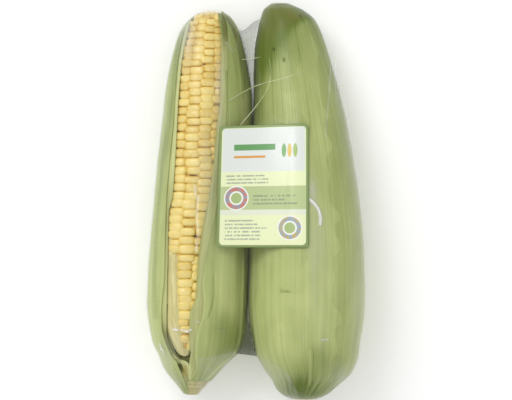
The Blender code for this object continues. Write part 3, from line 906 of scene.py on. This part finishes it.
# %% Core and tip
CORE, shader, start = new_material("cob_core", Roughness=0.6)
mottle = start.grain(300.0, 3.0)
colour = mottle.ramp(0.35, 0.65).between((0.60, 0.38, 0.08, 1), (0.78, 0.54, 0.15, 1))
drive(shader, Base_Color=mottle.ramp(0.43, 0.36).between(colour, (0.16, 0.09, 0.02, 1)))
core = round_cob("cob_core", level(-1.7), level(1.7), (-90.0, 108.0), 2.1)
thicken(core, 0.6)
place(core, CORE)
tip_y = np.linspace(100.0, 113.9, 40)[:, None]
tip_turn = full_turn(48)
tip_depth = 2.15 + 6.0 * rise(111.5, 114.4, tip_y) + 0 * tip_turn
place(grid("cob_tip", cob_points(tip_turn, tip_y, tip_depth), around=True, poles=True, flip=True), CORE)
print("core material:", CORE.name)

# %% Membrane
MEMBRANE_RIGHT = [(-93.2, -40.0), (-92.3, -38.0), (-90.4, -36.0), (-89.0, -37.5), (-88.0, -43.0), (-84.0, -43.6),
                  (-72.4, -43.4), (-60.3, -45.0), (-36.0, -45.6), (-30.0, -49.4), (0.0, -50.6), (20.0, -53.0)]
MEMBRANE, shader, start = new_material("membrane", Roughness=0.35, Coat_Weight=0.2)
across, along = start.attribute("across"), start.attribute("along")
streaks = start.noise(across * 0.9, along * 0.03, 2.0, 3.0)
stain = start.noise(across * 0.2, along * 0.08, 7.0, 2.0)
colour = (streaks * 0.6 + stain * 0.4).ramp(0.35, 0.65).between((0.59, 0.53, 0.20, 1), (0.79, 0.73, 0.36, 1))
drive(shader, Base_Color=colour, Normal=streaks.bump(0.4, 0.3))
membrane = round_cob("cob_membrane", level(-1.75), cob_angle_at(MEMBRANE_RIGHT), (-93.2, 18.0), 0.35,
                     tuck=1.6, wave=0.06)
thicken(membrane, 0.4)
place(membrane, MEMBRANE)
print("membrane material:", MEMBRANE.name)

# %% Linings
# The innermost leaf clings to the kernels on both sides, so no gap opens beside them.
LINING = {"wave": 0.08, "tone": 0.75, "shade": 0.1, "spread": 1.0}
linings = [round_cob("cob_lining_right", cob_angle_at(WINDOW_RIGHT, -1.4), level(1.9),
                     (-91.0, 106.0), -0.3, **LINING),
           round_cob("cob_lining_left", level(-1.9), cob_angle_at(WINDOW_LEFT, 0.5),
                     (10.0, 107.0), 0.7, **LINING)]
for lining in linings:
    thicken(lining, 0.3)
    place(lining, PALE_HUSK)
print("linings:", [lining.name for lining in linings])

# %% The window's cut side
def make_cut_face(rows=170, layers=4, steps=6):
    """The window's right side, cut through four stacked leaves: a stair from the lining up to the leaf's edge."""
    y = np.linspace(-90.0, 106.0, rows)[:, None]
    share = np.linspace(0, 1, layers * steps + 1)[None, :]
    low = cob_points(cob_angle_at(WINDOW_RIGHT, -1.4)(y), y, -0.3)
    high = LEFT.points(at_x(LEFT, WINDOW_RIGHT)(y), y, 1.5)
    stair = (np.floor(share * layers) + rise(0.0, 0.5, share * layers % 1)) / layers
    points = low + (high - low) * share[..., None]
    points[..., 0] = low[..., 0] + (high[..., 0] + 0.2 - low[..., 0]) * np.minimum(stair, 1)
    return grid("window_cut", points, flip=True, across=share * 6 + 0 * y, along=y + 0 * share,
                tone=0.80 - 0.25 * np.abs(np.sin(np.pi * layers * share)) + 0 * y, shade=0.1, spread=1.0)


cut_face = make_cut_face()
thicken(cut_face, 0.2)
place(cut_face, PALE_HUSK)
print("cut side:", cut_face.name)

# %% Stems
STEM, shader, start = new_material("cut_stem", Roughness=0.55)
across, along = start.attribute("across"), start.attribute("along")
fibres = start.noise(across * 1.6, along * 0.15, 4.0, 3.0)
rings = start.noise(across * 0.05, along * 1.1, 8.0, 1.0)
colour = (fibres * 0.5 + rings * 0.5).ramp(0.32, 0.68).between((0.40, 0.36, 0.14, 1), (0.68, 0.62, 0.32, 1))
drive(shader, Base_Color=colour, Normal=(fibres + rings).bump(0.5, 0.4))


def make_stem(name, ear, radius, inside, end):
    """A stub just inside the ear's form, with two raised rings, from inside the husk to the cut end."""
    y = np.linspace(end, inside, 40)[:, None]
    angle = full_turn(36)
    swell = 0.35 * bell(y, end + 5, 0.7) + 0.3 * bell(y, end + 9, 0.8)
    size = np.minimum(ear.radius(y) - 1.3, radius) + swell + 0.1 * np.cos(13 * angle)
    size = size * (1 - 0.1 * (1 - rise(end, end + 0.8, y)))
    points = np.stack([ear.middle(y) + size * np.cos(angle), y + 0 * angle,
                       ear.axis_height(y) + size * np.sin(angle)], axis=-1)
    piece = grid(name, points, around=True, poles=True, across=np.degrees(angle) * 0.1, along=y)
    return place(piece, STEM)


left_stem = make_stem("left_stem", LEFT, 10.4, -104.0, -117.3)
right_stem = make_stem("right_stem", RIGHT, 7.0, -104.0, -119.8)
print("stems:", left_stem.name, right_stem.name)

# %% [markdown]
# ## The taut film between the ears
#
# Shrunk film runs straight from crest to crest, but sags a little into the valley, less so where the label holds it.
# So its height is a straight line less a dip that is deepest halfway, and its two ends are smooth curves across.

# %% The film's height between the ears
BRIDGE_TOP = [(-32.0, 105.6), (-10.3, 103.0), (-7.5, 102.6), (3.0, 108.4), (22.0, 112.5)]
BRIDGE_BOTTOM = [(-36.0, -94.2), (-11.8, -92.6), (0.3, -93.8), (30.0, -97.5)]
BRIDGE_DIPS = [(-98.0, 7.0), (-75.0, 13.0), (-48.0, 12.0), (-30.0, 4.2), (-20.0, 3.4), (36.0, 3.4), (46.0, 4.2),
               (62.0, 11.0), (84.0, 12.0), (104.0, 7.0)]
BRIDGE_UNDER_DIP = 6.0


def between_crests(x, y):
    """How far x lies from the left crest to the right one, from 0 to 1, and how far a dip has grown there."""
    left_x, right_x = LEFT.middle(y), RIGHT.middle(y)
    share = np.clip((x - left_x) / (right_x - left_x), 0, 1)
    return share, (4 * share * (1 - share)) ** 2


def crest_height(share, y):
    """The height of a straight line from crest to crest."""
    left, right = (ear.axis_height(y) + ear.radius(y) for ear in (LEFT, RIGHT))
    return left + (right - left) * share


def bridge_heights(x, y):
    """The upper and lower height of the film between the crests, with its dips."""
    share, dip = between_crests(x, y)
    left_low, right_low = (np.maximum(ear.axis_height(y) - ear.radius(y), 0.1) for ear in (LEFT, RIGHT))
    return (crest_height(share, y) - through(BRIDGE_DIPS, y) * dip,
            left_low + (right_low - left_low) * share + BRIDGE_UNDER_DIP * dip)


def ear_tops(x, y):
    """The height of whichever ear is the higher one there."""
    return np.maximum(LEFT.surface(x, y), RIGHT.surface(x, y))


print("the film dips by up to", max(dip for _, dip in BRIDGE_DIPS), "mm")

# %% [markdown]
# ## Silk under the film
#
# A few strands of silk cross from one ear to the other, pressed under the film. They are only about 0.3 mm thick.
# Each is a tube round a smooth path whose height is that of whatever is highest there, so it never floats or sinks.

# %% Silk
SILK, shader, start = new_material("silk", Roughness=0.4)
mottle = start.grain(150.0, 1.0)
drive(shader, Base_Color=mottle.ramp(0.35, 0.65).between((0.50, 0.54, 0.24, 1), (0.74, 0.76, 0.48, 1)))


def strand(name, corners, radius, sink):
    """A tube round a path that lies this far under the film: a circle square to the path, thinner at its end."""
    path = bent_path(corners, 60)
    x, y = path.T
    spine = np.stack([x, y, np.maximum(ear_tops(x, y), bridge_heights(x, y)[0]) - sink], axis=-1)
    ahead = np.gradient(spine, axis=0)
    ahead /= np.linalg.norm(ahead, axis=1)[:, None]
    beside = np.cross(ahead, [0, 0, 1.0])
    beside /= np.linalg.norm(beside, axis=1)[:, None]
    above = np.cross(beside, ahead)
    turn = full_turn(8)[..., None]
    thin = radius * (1 - 0.5 * rise(0.7, 1.0, np.linspace(0, 1, 60)))[:, None, None]
    points = spine[:, None] + thin * (np.cos(turn) * beside[:, None] + np.sin(turn) * above[:, None])
    return place(grid(name, points, around=True, poles=True), SILK)


strand("silk_long", [(-16.6, 59.1), (-2.1, 67.5), (4.5, 69.9), (16.0, 72.6), (28.6, 76.6)], 0.19, 0.5)
strand("silk_curved", [(-9.3, 44.6), (0.9, 57.3), (7.5, 68.1), (9.2, 77.2), (7.8, 85.0)], 0.20, 0.8)
strand("silk_short", [(-8.4, 84.4), (-2.0, 85.2), (3.1, 86.0)], 0.16, 0.5)
strand("silk_upper", [(-18.0, 94.7), (-13.0, 90.6), (-10.3, 87.0)], 0.15, 0.5)
print("four strands of silk")

# %% [markdown]
# ## The film
#
# The sleeve is shrunk tight: a skin round each ear, and a taut web from crest to crest, front and back.
# The web's front and back meet in a hollow edge at both ends. In the window the film dips towards the kernels.
# On the right ear's side it is folded over, which ends in a small step, and near the stems it lies double.
# Each skin is the ear's own form. The web is a loop that runs along the front and back along the rear.
# Three numbers go along for the material: how creased, with a painted glint; how milky, partly a painted sheen; and
# how much painted shade darkens the film at each point.

# %% Creases and milky patches, with painted glints and painted sheen
# Each crease is its width in millimetres, its strength, and the pixels that it passes; its strength also sets its
# painted glint.
CREASES_AND_GLINTS = {
    "left": [(0.45, 1.0, [(198.5, 196), (197, 215), (198.5, 232), (196.5, 250)]),
             (0.5, 1.0, [(195, 186), (195.5, 194)]),
             (0.55, 1.5, [(173.2, 327.6), (178, 328)]), (0.5, 1.5, [(181.8, 328), (183.2, 328.6)]),
             (0.6, 1.5, [(185, 328.8), (188.5, 329.4)]), (0.5, 1.4, [(190.2, 327.4), (191.4, 327.8)]),
             (0.35, 0.9, [(195, 318.8), (200, 320.6)]), (0.40, 0.32, [(198.6, 357), (219, 354.7), (232, 351.5)]),
             (0.40, 0.26, [(200, 365), (213.5, 369.6)]), (0.40, 1.4, [(160.6, 343.6), (161.2, 345.2)]),
             (0.50, 1.5, [(161.6, 347.4), (163.2, 348.6)]), (0.30, 1.4, [(163.4, 350.6), (164.4, 351.4)]),
             (0.35, 0.26, [(217, 326.5), (226, 328)]), (0.30, 0.5, [(225, 43), (231, 50), (234.5, 53)])],
    "right": [(0.80, 1.35, [(309, 200), (314, 205), (317.4, 211), (318.8, 218), (318.6, 224)]),
              (0.50, 0.9, [(319.5, 336.4), (322, 337.6), (325.6, 336.6)]),
              (0.40, 0.24, [(256, 356), (271, 361.5), (281, 366), (288, 374), (294, 387), (299, 394)]),
              (0.45, 0.6, [(330.5, 61), (329.5, 75), (327, 103), (323.7, 139)]),
              (0.30, 0.5, [(296, 333), (304, 333.6)])],
}
# Each milky patch, partly real milky film and partly a painted sheen, is its middle in pixels, its reach across and
# along in millimetres, and its strength.
MILKY_AND_SHEEN_PATCHES = {
    "left": [(206, 178, 6, 26, 0.13), (187, 34, 5, 17, 0.30), (219.5, 88, 2.4, 24, 0.20), (160, 110, 4, 34, 0.12),
             (181, 338, 8, 6, 0.08), (205, 11.5, 8, 2.5, 0.25), (166, 362, 5, 13, 0.17), (177, 383, 4, 6, 0.15)],
    "right": [(318, 262, 6.5, 42, 0.09), (356, 300, 5, 40, 0.10), (340, 373, 7, 7, 0.15), (311, 191, 2.6, 7, 0.30),
              (313, 240, 4, 16, 0.10)],
}
# Below these (x, y) places the film lies double.
DOUBLED = {"left": [(-60.0, -96.0), (-34.3, -94.7), (-22.0, -93.3), (-14.2, -91.4), (0.0, -91.0)],
           "right": [(-5.0, -92.0), (0.3, -94.1), (9.3, -97.4), (15.4, -100.1), (19.6, -104.9), (23.2, -112.8),
                     (26.5, -120.0)]}
print(sum(map(len, CREASES_AND_GLINTS.values())), "creases and", sum(map(len, MILKY_AND_SHEEN_PATCHES.values())), "milky patches")

# %% Film skins
FOLD_END, FOLD_STEP = 85.0, 1.3


def film_skin(name, ear, creases, patches, doubled, columns=210, rows=250):
    """The ear's form plus small wrinkles, which are cosines of the angle, less a dip over the window.

    Creases, the bulge of the valley leaf and the fold on the right ear's side are added to that as bell curves.
    """
    y = places_along(ear.stem_end - 0.1, ear.tip_end + 0.2, rows)
    angle = full_turn(columns)
    degrees = np.degrees(angle)
    x = seen_x(ear, degrees, y)
    on_top = rise(0.0, 0.3, np.sin(angle))
    # Each crease is a small real ridge and also carries a painted glint.
    crease = np.zeros((rows, columns))
    for width, strength, pixels in creases:
        crease = np.maximum(crease, strength * near_path(x, y, pixels, width))
    crease = crease * on_top
    haze = 0.10 * (1 - rise(-0.4, 0.4, y - through(doubled, x))) * on_top
    # Painted shade: the film's colour is darkened on the side that faces the other ear, where the groove lies in
    # shade.
    facing_in = bell(away(degrees, 0 if ear is LEFT else 180), 0, 30)
    dim = (0.30 + 0.10 * rise(-60, -42, y)) * facing_in * rise(-104, -92, y) * (1 - rise(96, 108, y))
    if ear is LEFT:
        haze = haze * rise(-37, -33, x)
    # The patches whiten the film: partly real milkiness, partly painted sheen where the film reflects the light.
    for column, row, reach_x, reach_y, strength in patches:
        patch_x, patch_y = pixel(column, row)
        haze = haze + strength * on_top * bell(x, patch_x, reach_x) * bell(y, patch_y, reach_y)
    gathered = 1 - rise(ear.stem_end, ear.stem_end + 35, y)
    wrinkle = 0.10 * gathered * np.cos(23 * angle + 0.08 * y) + 0.03 * np.cos(5 * angle + 0.13 * y)
    lift = wrinkle + 0.35 * crease
    if ear is LEFT:
        inside = rise(0, 5, x - through(WINDOW_LEFT, y)) * rise(0, 5, through(WINDOW_RIGHT, y) - x) * on_top
        lift = lift - 0.9 * inside * rise(-94, -84, y) * (1 - rise(100, 112, y)) + 0.8 * valley_bulge(y, degrees)
    else:
        side = away(degrees, 0)
        fold = rise(FOLD_END, FOLD_END - 2, y + 0.02 * (side - 7) ** 2)
        lift = lift + FOLD_STEP * fold * rise(10, 80, y) * bell(side, 8, 26)
        milky = (0.20 + 0.14 * rise(0, 60, y)) * rise(-60, 50, y)
        haze = haze + milky * fold * bell(side, 14, 17)
    points = ear.points(degrees, y, -lift)
    points[..., 2] = np.maximum(points[..., 2], 0.0)
    return grid(name, points, around=True, poles=True, crease=crease, haze=haze, dim=dim, across=degrees * 0.55,
                along=y)


print("film_skin is ready")

# %% Film web
def film_web(name, columns=70, loop=160, fullness=3.2):
    """Front and back in one loop: y goes as a cosine and z as a sine, both raised to a small power."""
    share = np.linspace(0.0, 1.0, columns)[:, None]
    turn = full_turn(loop)
    cosine, sine = np.cos(turn), np.sin(turn)
    along = np.sign(cosine) * np.abs(cosine) ** (2 / fullness)
    full = np.abs(sine) ** (2 / fullness)
    x = LEFT.middle(0) + (RIGHT.middle(0) - LEFT.middle(0)) * share
    top, bottom = through(BRIDGE_TOP, x), through(BRIDGE_BOTTOM, x)
    y = (top + bottom) / 2 + along * (top - bottom) / 2
    x = LEFT.middle(y) + (RIGHT.middle(y) - LEFT.middle(y)) * share
    high, low = bridge_heights(x, y)
    level = LEFT.axis_height(y) + (RIGHT.axis_height(y) - LEFT.axis_height(y)) * share
    z = level + np.where(sine > 0, high - level, low - level) * full
    z = z + 0.12 * np.cos(0.9 * x) * rise(88, 104, np.abs(y)) * np.sign(sine)
    points = np.stack([x, y, np.maximum(z, 0.05)], axis=-1)
    between = (x > LEFT.middle(y) + LEFT.radius(y)) & (x < RIGHT.middle(y) - RIGHT.radius(y))
    clear_of_ears = np.where(between, 1.0, rise(9.0, 16.0, z - ear_tops(x, y)))
    # Near the tips the web is a milky grey sheet and near the stems a dark one: painted shade between the ears,
    # partly real double film.
    by_tips, by_stems = rise(50, 72, y), 1 - rise(-76, -56, y)
    haze = (0.01 + 0.48 * by_tips + 0.68 * by_stems) * clear_of_ears
    dim = 0.35 * by_tips + 1 - rise(-58, -40, y) - 0.10 * (1 - rise(-93, -85, y))
    return grid(name, points, around=True, flip=True, crease=0, haze=haze, dim=dim, across=x * 0.5, along=y)


film_pieces = [film_skin("film_" + side, ear, CREASES_AND_GLINTS[side], MILKY_AND_SHEEN_PATCHES[side], DOUBLED[side])
               for side, ear in (("left", LEFT), ("right", RIGHT))] + [film_web("film_web")]
print("film pieces:", [piece.name for piece in film_pieces])

# %% [markdown]
# ## How film looks
#
# Clear film is almost nothing from straight on and a mirror at a glancing angle. Its creases get a painted glint, a
# white matt colour in place of a highlight.
# A Mix Shader lets the light through and adds a gloss that grows steeply with the angle, and with each crease.
# That stays clear seen from any side, which a plain pale material wouldn't. Milky film is rougher, and painted
# shade darkens the film's colour, and so its gloss, between the ears and on their sides facing each other.

# %% Film material
FILM, shader, start = new_material("film", Roughness=0.16)
facing = start.make("LayerWeight", {"Blend": 0.5}, output=1)
crease_glint, across, along = start.attribute("crease"), start.attribute("across"), start.attribute("along")
ripple = start.noise(across * 0.25, along * 0.05, 3.0, 2.0)
cloud = start.noise(across * 0.5, along * 0.03, 11.0, 2.0)
haze_value = start.attribute("haze") * cloud.ramp(0.3, 0.7, 0.75, 1.25)
share = 0.011 + 0.57 * facing.power(4.5) + 0.58 * crease_glint + haze_value + cloud.ramp(0.45, 0.7) * 0.016
# The painted shade turns the film's colour towards dark olive.
dimmed = start.attribute("dim").between((0.82, 0.83, 0.80, 1), (0.12, 0.14, 0.08, 1))
# The painted glint: along creases the film's colour turns white and matt, in place of a highlight.
glint = crease_glint.ramp(0.3, 1.0)
drive(shader, Normal=ripple.bump(0.22, 0.8), Base_Color=glint.between(dimmed, (0.98, 0.98, 0.98, 1)),
      Metallic=glint.ramp(0.0, 1.0, 0.5, 0.0), Roughness=haze_value.ramp(0.15, 0.5, 0.16, 0.6))
clear = start.make("BsdfTransparent")
mixed = start.make("MixShader", {0: share.least(0.85), 1: clear, 2: Value(FILM.node_tree, shader.outputs[0])})
out = FILM.node_tree.nodes["Material Output"]
FILM.node_tree.links.new(mixed.socket, out.inputs["Surface"])
for piece in film_pieces:
    place(piece, FILM)
print("film material:", FILM.name)

# %% [markdown]
# ## The label
#
# A glossy paper label bridges the two ears. It follows the film, but it is stiffer, so it dips less.
# Its corners are round, so each row of the grid is drawn in by a circle's arc near the upper and lower edge.

# %% Label surface
LABEL_CORNERS = np.array([[(-23.4, -28.2), (31.0, -28.1)], [(-21.5, 43.8), (31.2, 45.4)]])
LABEL_SIZE = (54.0, 73.0)
CORNER = 1.7
LABEL_DIP = 3.0
ABOVE_FILM = 0.5


def label_points(rows=110, columns=90):
    """Bilinear between the four corners, with rounded corners, a little above what carries it."""
    v = np.linspace(0, 1, rows)[:, None]
    u = np.linspace(-1, 1, columns)[None, :]
    from_edge = np.minimum(v, 1 - v) * LABEL_SIZE[1]
    drawn_in = CORNER - np.sqrt(CORNER ** 2 - (CORNER - np.minimum(from_edge, CORNER)) ** 2)
    u = 0.5 + 0.5 * u * (1 - 2 * drawn_in / LABEL_SIZE[0])
    low = LABEL_CORNERS[0, 0] + (LABEL_CORNERS[0, 1] - LABEL_CORNERS[0, 0]) * u[..., None]
    high = LABEL_CORNERS[1, 0] + (LABEL_CORNERS[1, 1] - LABEL_CORNERS[1, 0]) * u[..., None]
    seen = low + (high - low) * v[..., None]
    x, y = seen[..., 0], seen[..., 1]
    share, dip = between_crests(x, y)
    taut = crest_height(share, y) - LABEL_DIP * dip
    points = np.stack([x, y, np.maximum(ear_tops(x, y), taut) + ABOVE_FILM], axis=-1)
    return points, u * LABEL_SIZE[0], v * LABEL_SIZE[1]


points, label_u, label_v = label_points()
label = grid("label_sheet", points, flip=True, u=label_u, v=label_v)
thicken(label, 0.25, 1.0)
print("label", LABEL_SIZE, "mm")

# %% [markdown]
# ## The label's print
#
# The print is fields of colour and plain shapes, so it is drawn by formulas in the label's own millimetres.
# Each shape is a soft step of a distance, such as that to the nearest side of a box or from the middle of a disc.
# Lines of small print are only grey bars with ragged ends, so nothing on it can be read.

# %% Shapes on the label
LABEL, shader, start = new_material("label_print", Roughness=0.28, Coat_Weight=0.3, Coat_Roughness=0.1)
u, v = start.attribute("u"), start.attribute("v")
SOFT = 0.12


def box(left, right, bottom, top):
    """1 inside a box of the label, in millimetres: the distance to its nearest side, as a soft step."""
    inside = (u - left).least(right - u).least(v - bottom).least(top - v)
    return inside.ramp(-SOFT, SOFT)


def rounded_box(left, right, bottom, top, radius):
    """A box with round corners: the distance to a smaller box inside it, less the radius."""
    beside = (left + radius - u).most(u - (right - radius)).most(0.0)
    beyond = (bottom + radius - v).most(v - (top - radius)).most(0.0)
    return (radius - (beside * beside + beyond * beyond).power(0.5)).ramp(-SOFT, SOFT)


def disc(middle_u, middle_v, radius):
    """1 inside a round spot: its radius less the distance from its middle, as a soft step."""
    gap = ((u - middle_u) * (u - middle_u) + (v - middle_v) * (v - middle_v)).power(0.5)
    return (radius - gap).ramp(-SOFT, SOFT)


def oval(middle_u, middle_v, half_wide, half_high):
    """1 inside an upright oval: the two distances, each by its own radius, squared and added."""
    gap = ((u - middle_u) * (u - middle_u) / half_wide ** 2 + (v - middle_v) * (v - middle_v) / half_high ** 2)
    return gap.ramp(1.0 + 0.25 / half_wide, 1.0 - 0.25 / half_wide)


print("box, rounded_box, disc and oval are ready")

# %% Small print
def bars(left, right, bottom, pitch, count, thick, seed):
    """Rows of small print as bars: a row's ink comes and goes with noise along it."""
    row = ((v - bottom) / pitch).maths("FLOOR")
    within = (v - bottom) / pitch - row
    ink = start.noise(u * 1.1, row * 7.3, seed, 1.0).ramp(0.40, 0.46)
    reach = start.noise(row * 3.7, seed, 1.5, 0.0)
    inside = (u - left).least(left + (right - left) * (0.35 + reach) - u).least(right - u).ramp(-SOFT, SOFT)
    line = within.ramp(0.0, 0.12) * within.ramp(thick + 0.12, thick)
    return inside * ink * line * box(left, right, bottom, bottom + pitch * count)


print("bars is ready")

# %% Label print
GREEN, PALE, WHITE = (0.23, 0.32, 0.10, 1), (0.84, 0.90, 0.54, 1), (0.76, 0.80, 0.76, 1)
INK, GREY = (0.28, 0.36, 0.20, 1), (0.40, 0.46, 0.34, 1)
edge = rounded_box(1.5, LABEL_SIZE[0] - 1.5, 1.5, LABEL_SIZE[1] - 1.5, 2.4)
colour = edge.between(GREEN, PALE)
colour = box(2.2, 51.8, 45.2, 71.2).between(colour, WHITE)
colour = box(1.5, 52.5, 22.5, 36.5).between(colour, (0.50, 0.60, 0.28, 1))
colour = box(1.5, 52.5, 19.4, 22.5).between(colour, (0.78, 0.83, 0.66, 1))
# The upper panel: a plain bar for a title, a thin one under it, and three ovals.
colour = box(9.0, 34.0, 58.0, 61.6).between(colour, (0.12, 0.34, 0.10, 1))
colour = box(9.0, 28.0, 53.4, 54.8).between(colour, (0.72, 0.34, 0.06, 1))
for spot, tint in ((39.2, (0.16, 0.40, 0.10, 1)), (42.6, (0.72, 0.50, 0.08, 1)), (46.0, (0.36, 0.52, 0.14, 1))):
    colour = oval(spot, 57.5, 1.3, 4.0).between(colour, tint)
colour = bars(4.5, 30.0, 38.0, 2.1, 3, 0.42, 3.0).between(colour, GREY)
colour = bars(21.0, 48.0, 25.4, 2.3, 3, 0.45, 9.0).between(colour, INK)
colour = bars(4.5, 33.0, 4.4, 2.2, 6, 0.42, 15.0).between(colour, GREY)
# Two plain seals: a pale disc, a ring, and a soft patch of muted colour in its middle.
for middle_u, middle_v, tints in ((11.0, 29.5, ((0.62, 0.20, 0.14, 1), (0.30, 0.34, 0.40, 1))),
                                  (43.0, 11.6, ((0.55, 0.42, 0.16, 1), (0.32, 0.42, 0.52, 1)))):
    colour = disc(middle_u, middle_v, 7.4).between(colour, (0.90, 0.92, 0.84, 1))
    patch = start.noise(u * 0.45, v * 0.45, middle_u, 2.0).ramp(0.42, 0.58).between(*tints)
    colour = disc(middle_u, middle_v, 6.6).between(colour, patch)
    colour = disc(middle_u, middle_v, 4.2).between(colour, (0.88, 0.91, 0.82, 1))
    colour = disc(middle_u, middle_v, 3.2).between(colour, (0.40, 0.52, 0.20, 1))
paper = start.grain(90.0, 2.0)
drive(shader, Base_Color=colour, Normal=paper.bump(0.1, 0.3), Roughness=paper.ramp(0.35, 0.65, 0.22, 0.34))
label.data.materials.append(LABEL)
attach(label, "root")
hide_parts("label")
print("label material:", LABEL.name)

# %% [markdown]
# ## Floor, light and camera
#
# The photo looks straight down at the pack on plain white, under wide, soft light from the left and above.
# So the camera hangs far above with a long lens, which hardly shows any perspective.

# %% Floor
FLOOR, shader, start = new_material("floor", Roughness=0.8, Emission_Color=(1, 1, 1, 1), Emission_Strength=0.16)
drive(shader, Base_Color=start.grain(3.0, 2.0).between((0.96, 0.96, 0.96, 1), (0.98, 0.98, 0.98, 1)))
reach = 1500.0
corners = np.array([[[-reach, -reach, -0.2], [reach, -reach, -0.2]], [[-reach, reach, -0.2], [reach, reach, -0.2]]])
floor = grid("floor", corners, flip=True)
floor.data.materials.append(FLOOR)
print("stage:", floor.name)

# %% Light
world = bpy.data.worlds.new("studio")
bpy.context.scene.world = world
world.use_nodes = True
world.node_tree.nodes["Background"].inputs["Color"].default_value = (1.0, 1.0, 1.0, 1)
world.node_tree.nodes["Background"].inputs["Strength"].default_value = 0.66


def softbox(name, place_m, size_m, watts, target=(0, 0, 0.03)):
    """A wide, square lamp that looks at the pack's middle."""
    lamp = bpy.data.lights.new(name, "AREA")
    lamp.size, lamp.energy = size_m, watts
    made = bpy.data.objects.new(name, lamp)
    made.location = place_m
    made.rotation_euler = (Vector(target) - Vector(place_m)).to_track_quat("-Z", "Y").to_euler()
    bpy.context.scene.collection.objects.link(made)


softbox("key", (-1.05, 1.44, 1.95), 1.4, 24.5)
softbox("over", (-0.10, 0.0, 1.5), 1.2, 1.6)
print("two soft boxes hang over the pack")

# %% Camera
CAMERA_HEIGHT, PACK_MIDDLE = 1.8, 0.03
lens = bpy.data.cameras.new("camera")
lens.sensor_width = 36.0
lens.lens = lens.sensor_width * (CAMERA_HEIGHT - PACK_MIDDLE) / (PHOTO_WIDE * MM_PER_PIXEL * MM)
camera = bpy.data.objects.new("camera", lens)
camera.location = (0.0, 0.0, CAMERA_HEIGHT)
bpy.context.scene.collection.objects.link(camera)
bpy.context.scene.camera = camera
bpy.context.scene.view_settings.view_transform = "Standard"
print("lens", round(lens.lens), "mm at", CAMERA_HEIGHT, "m")
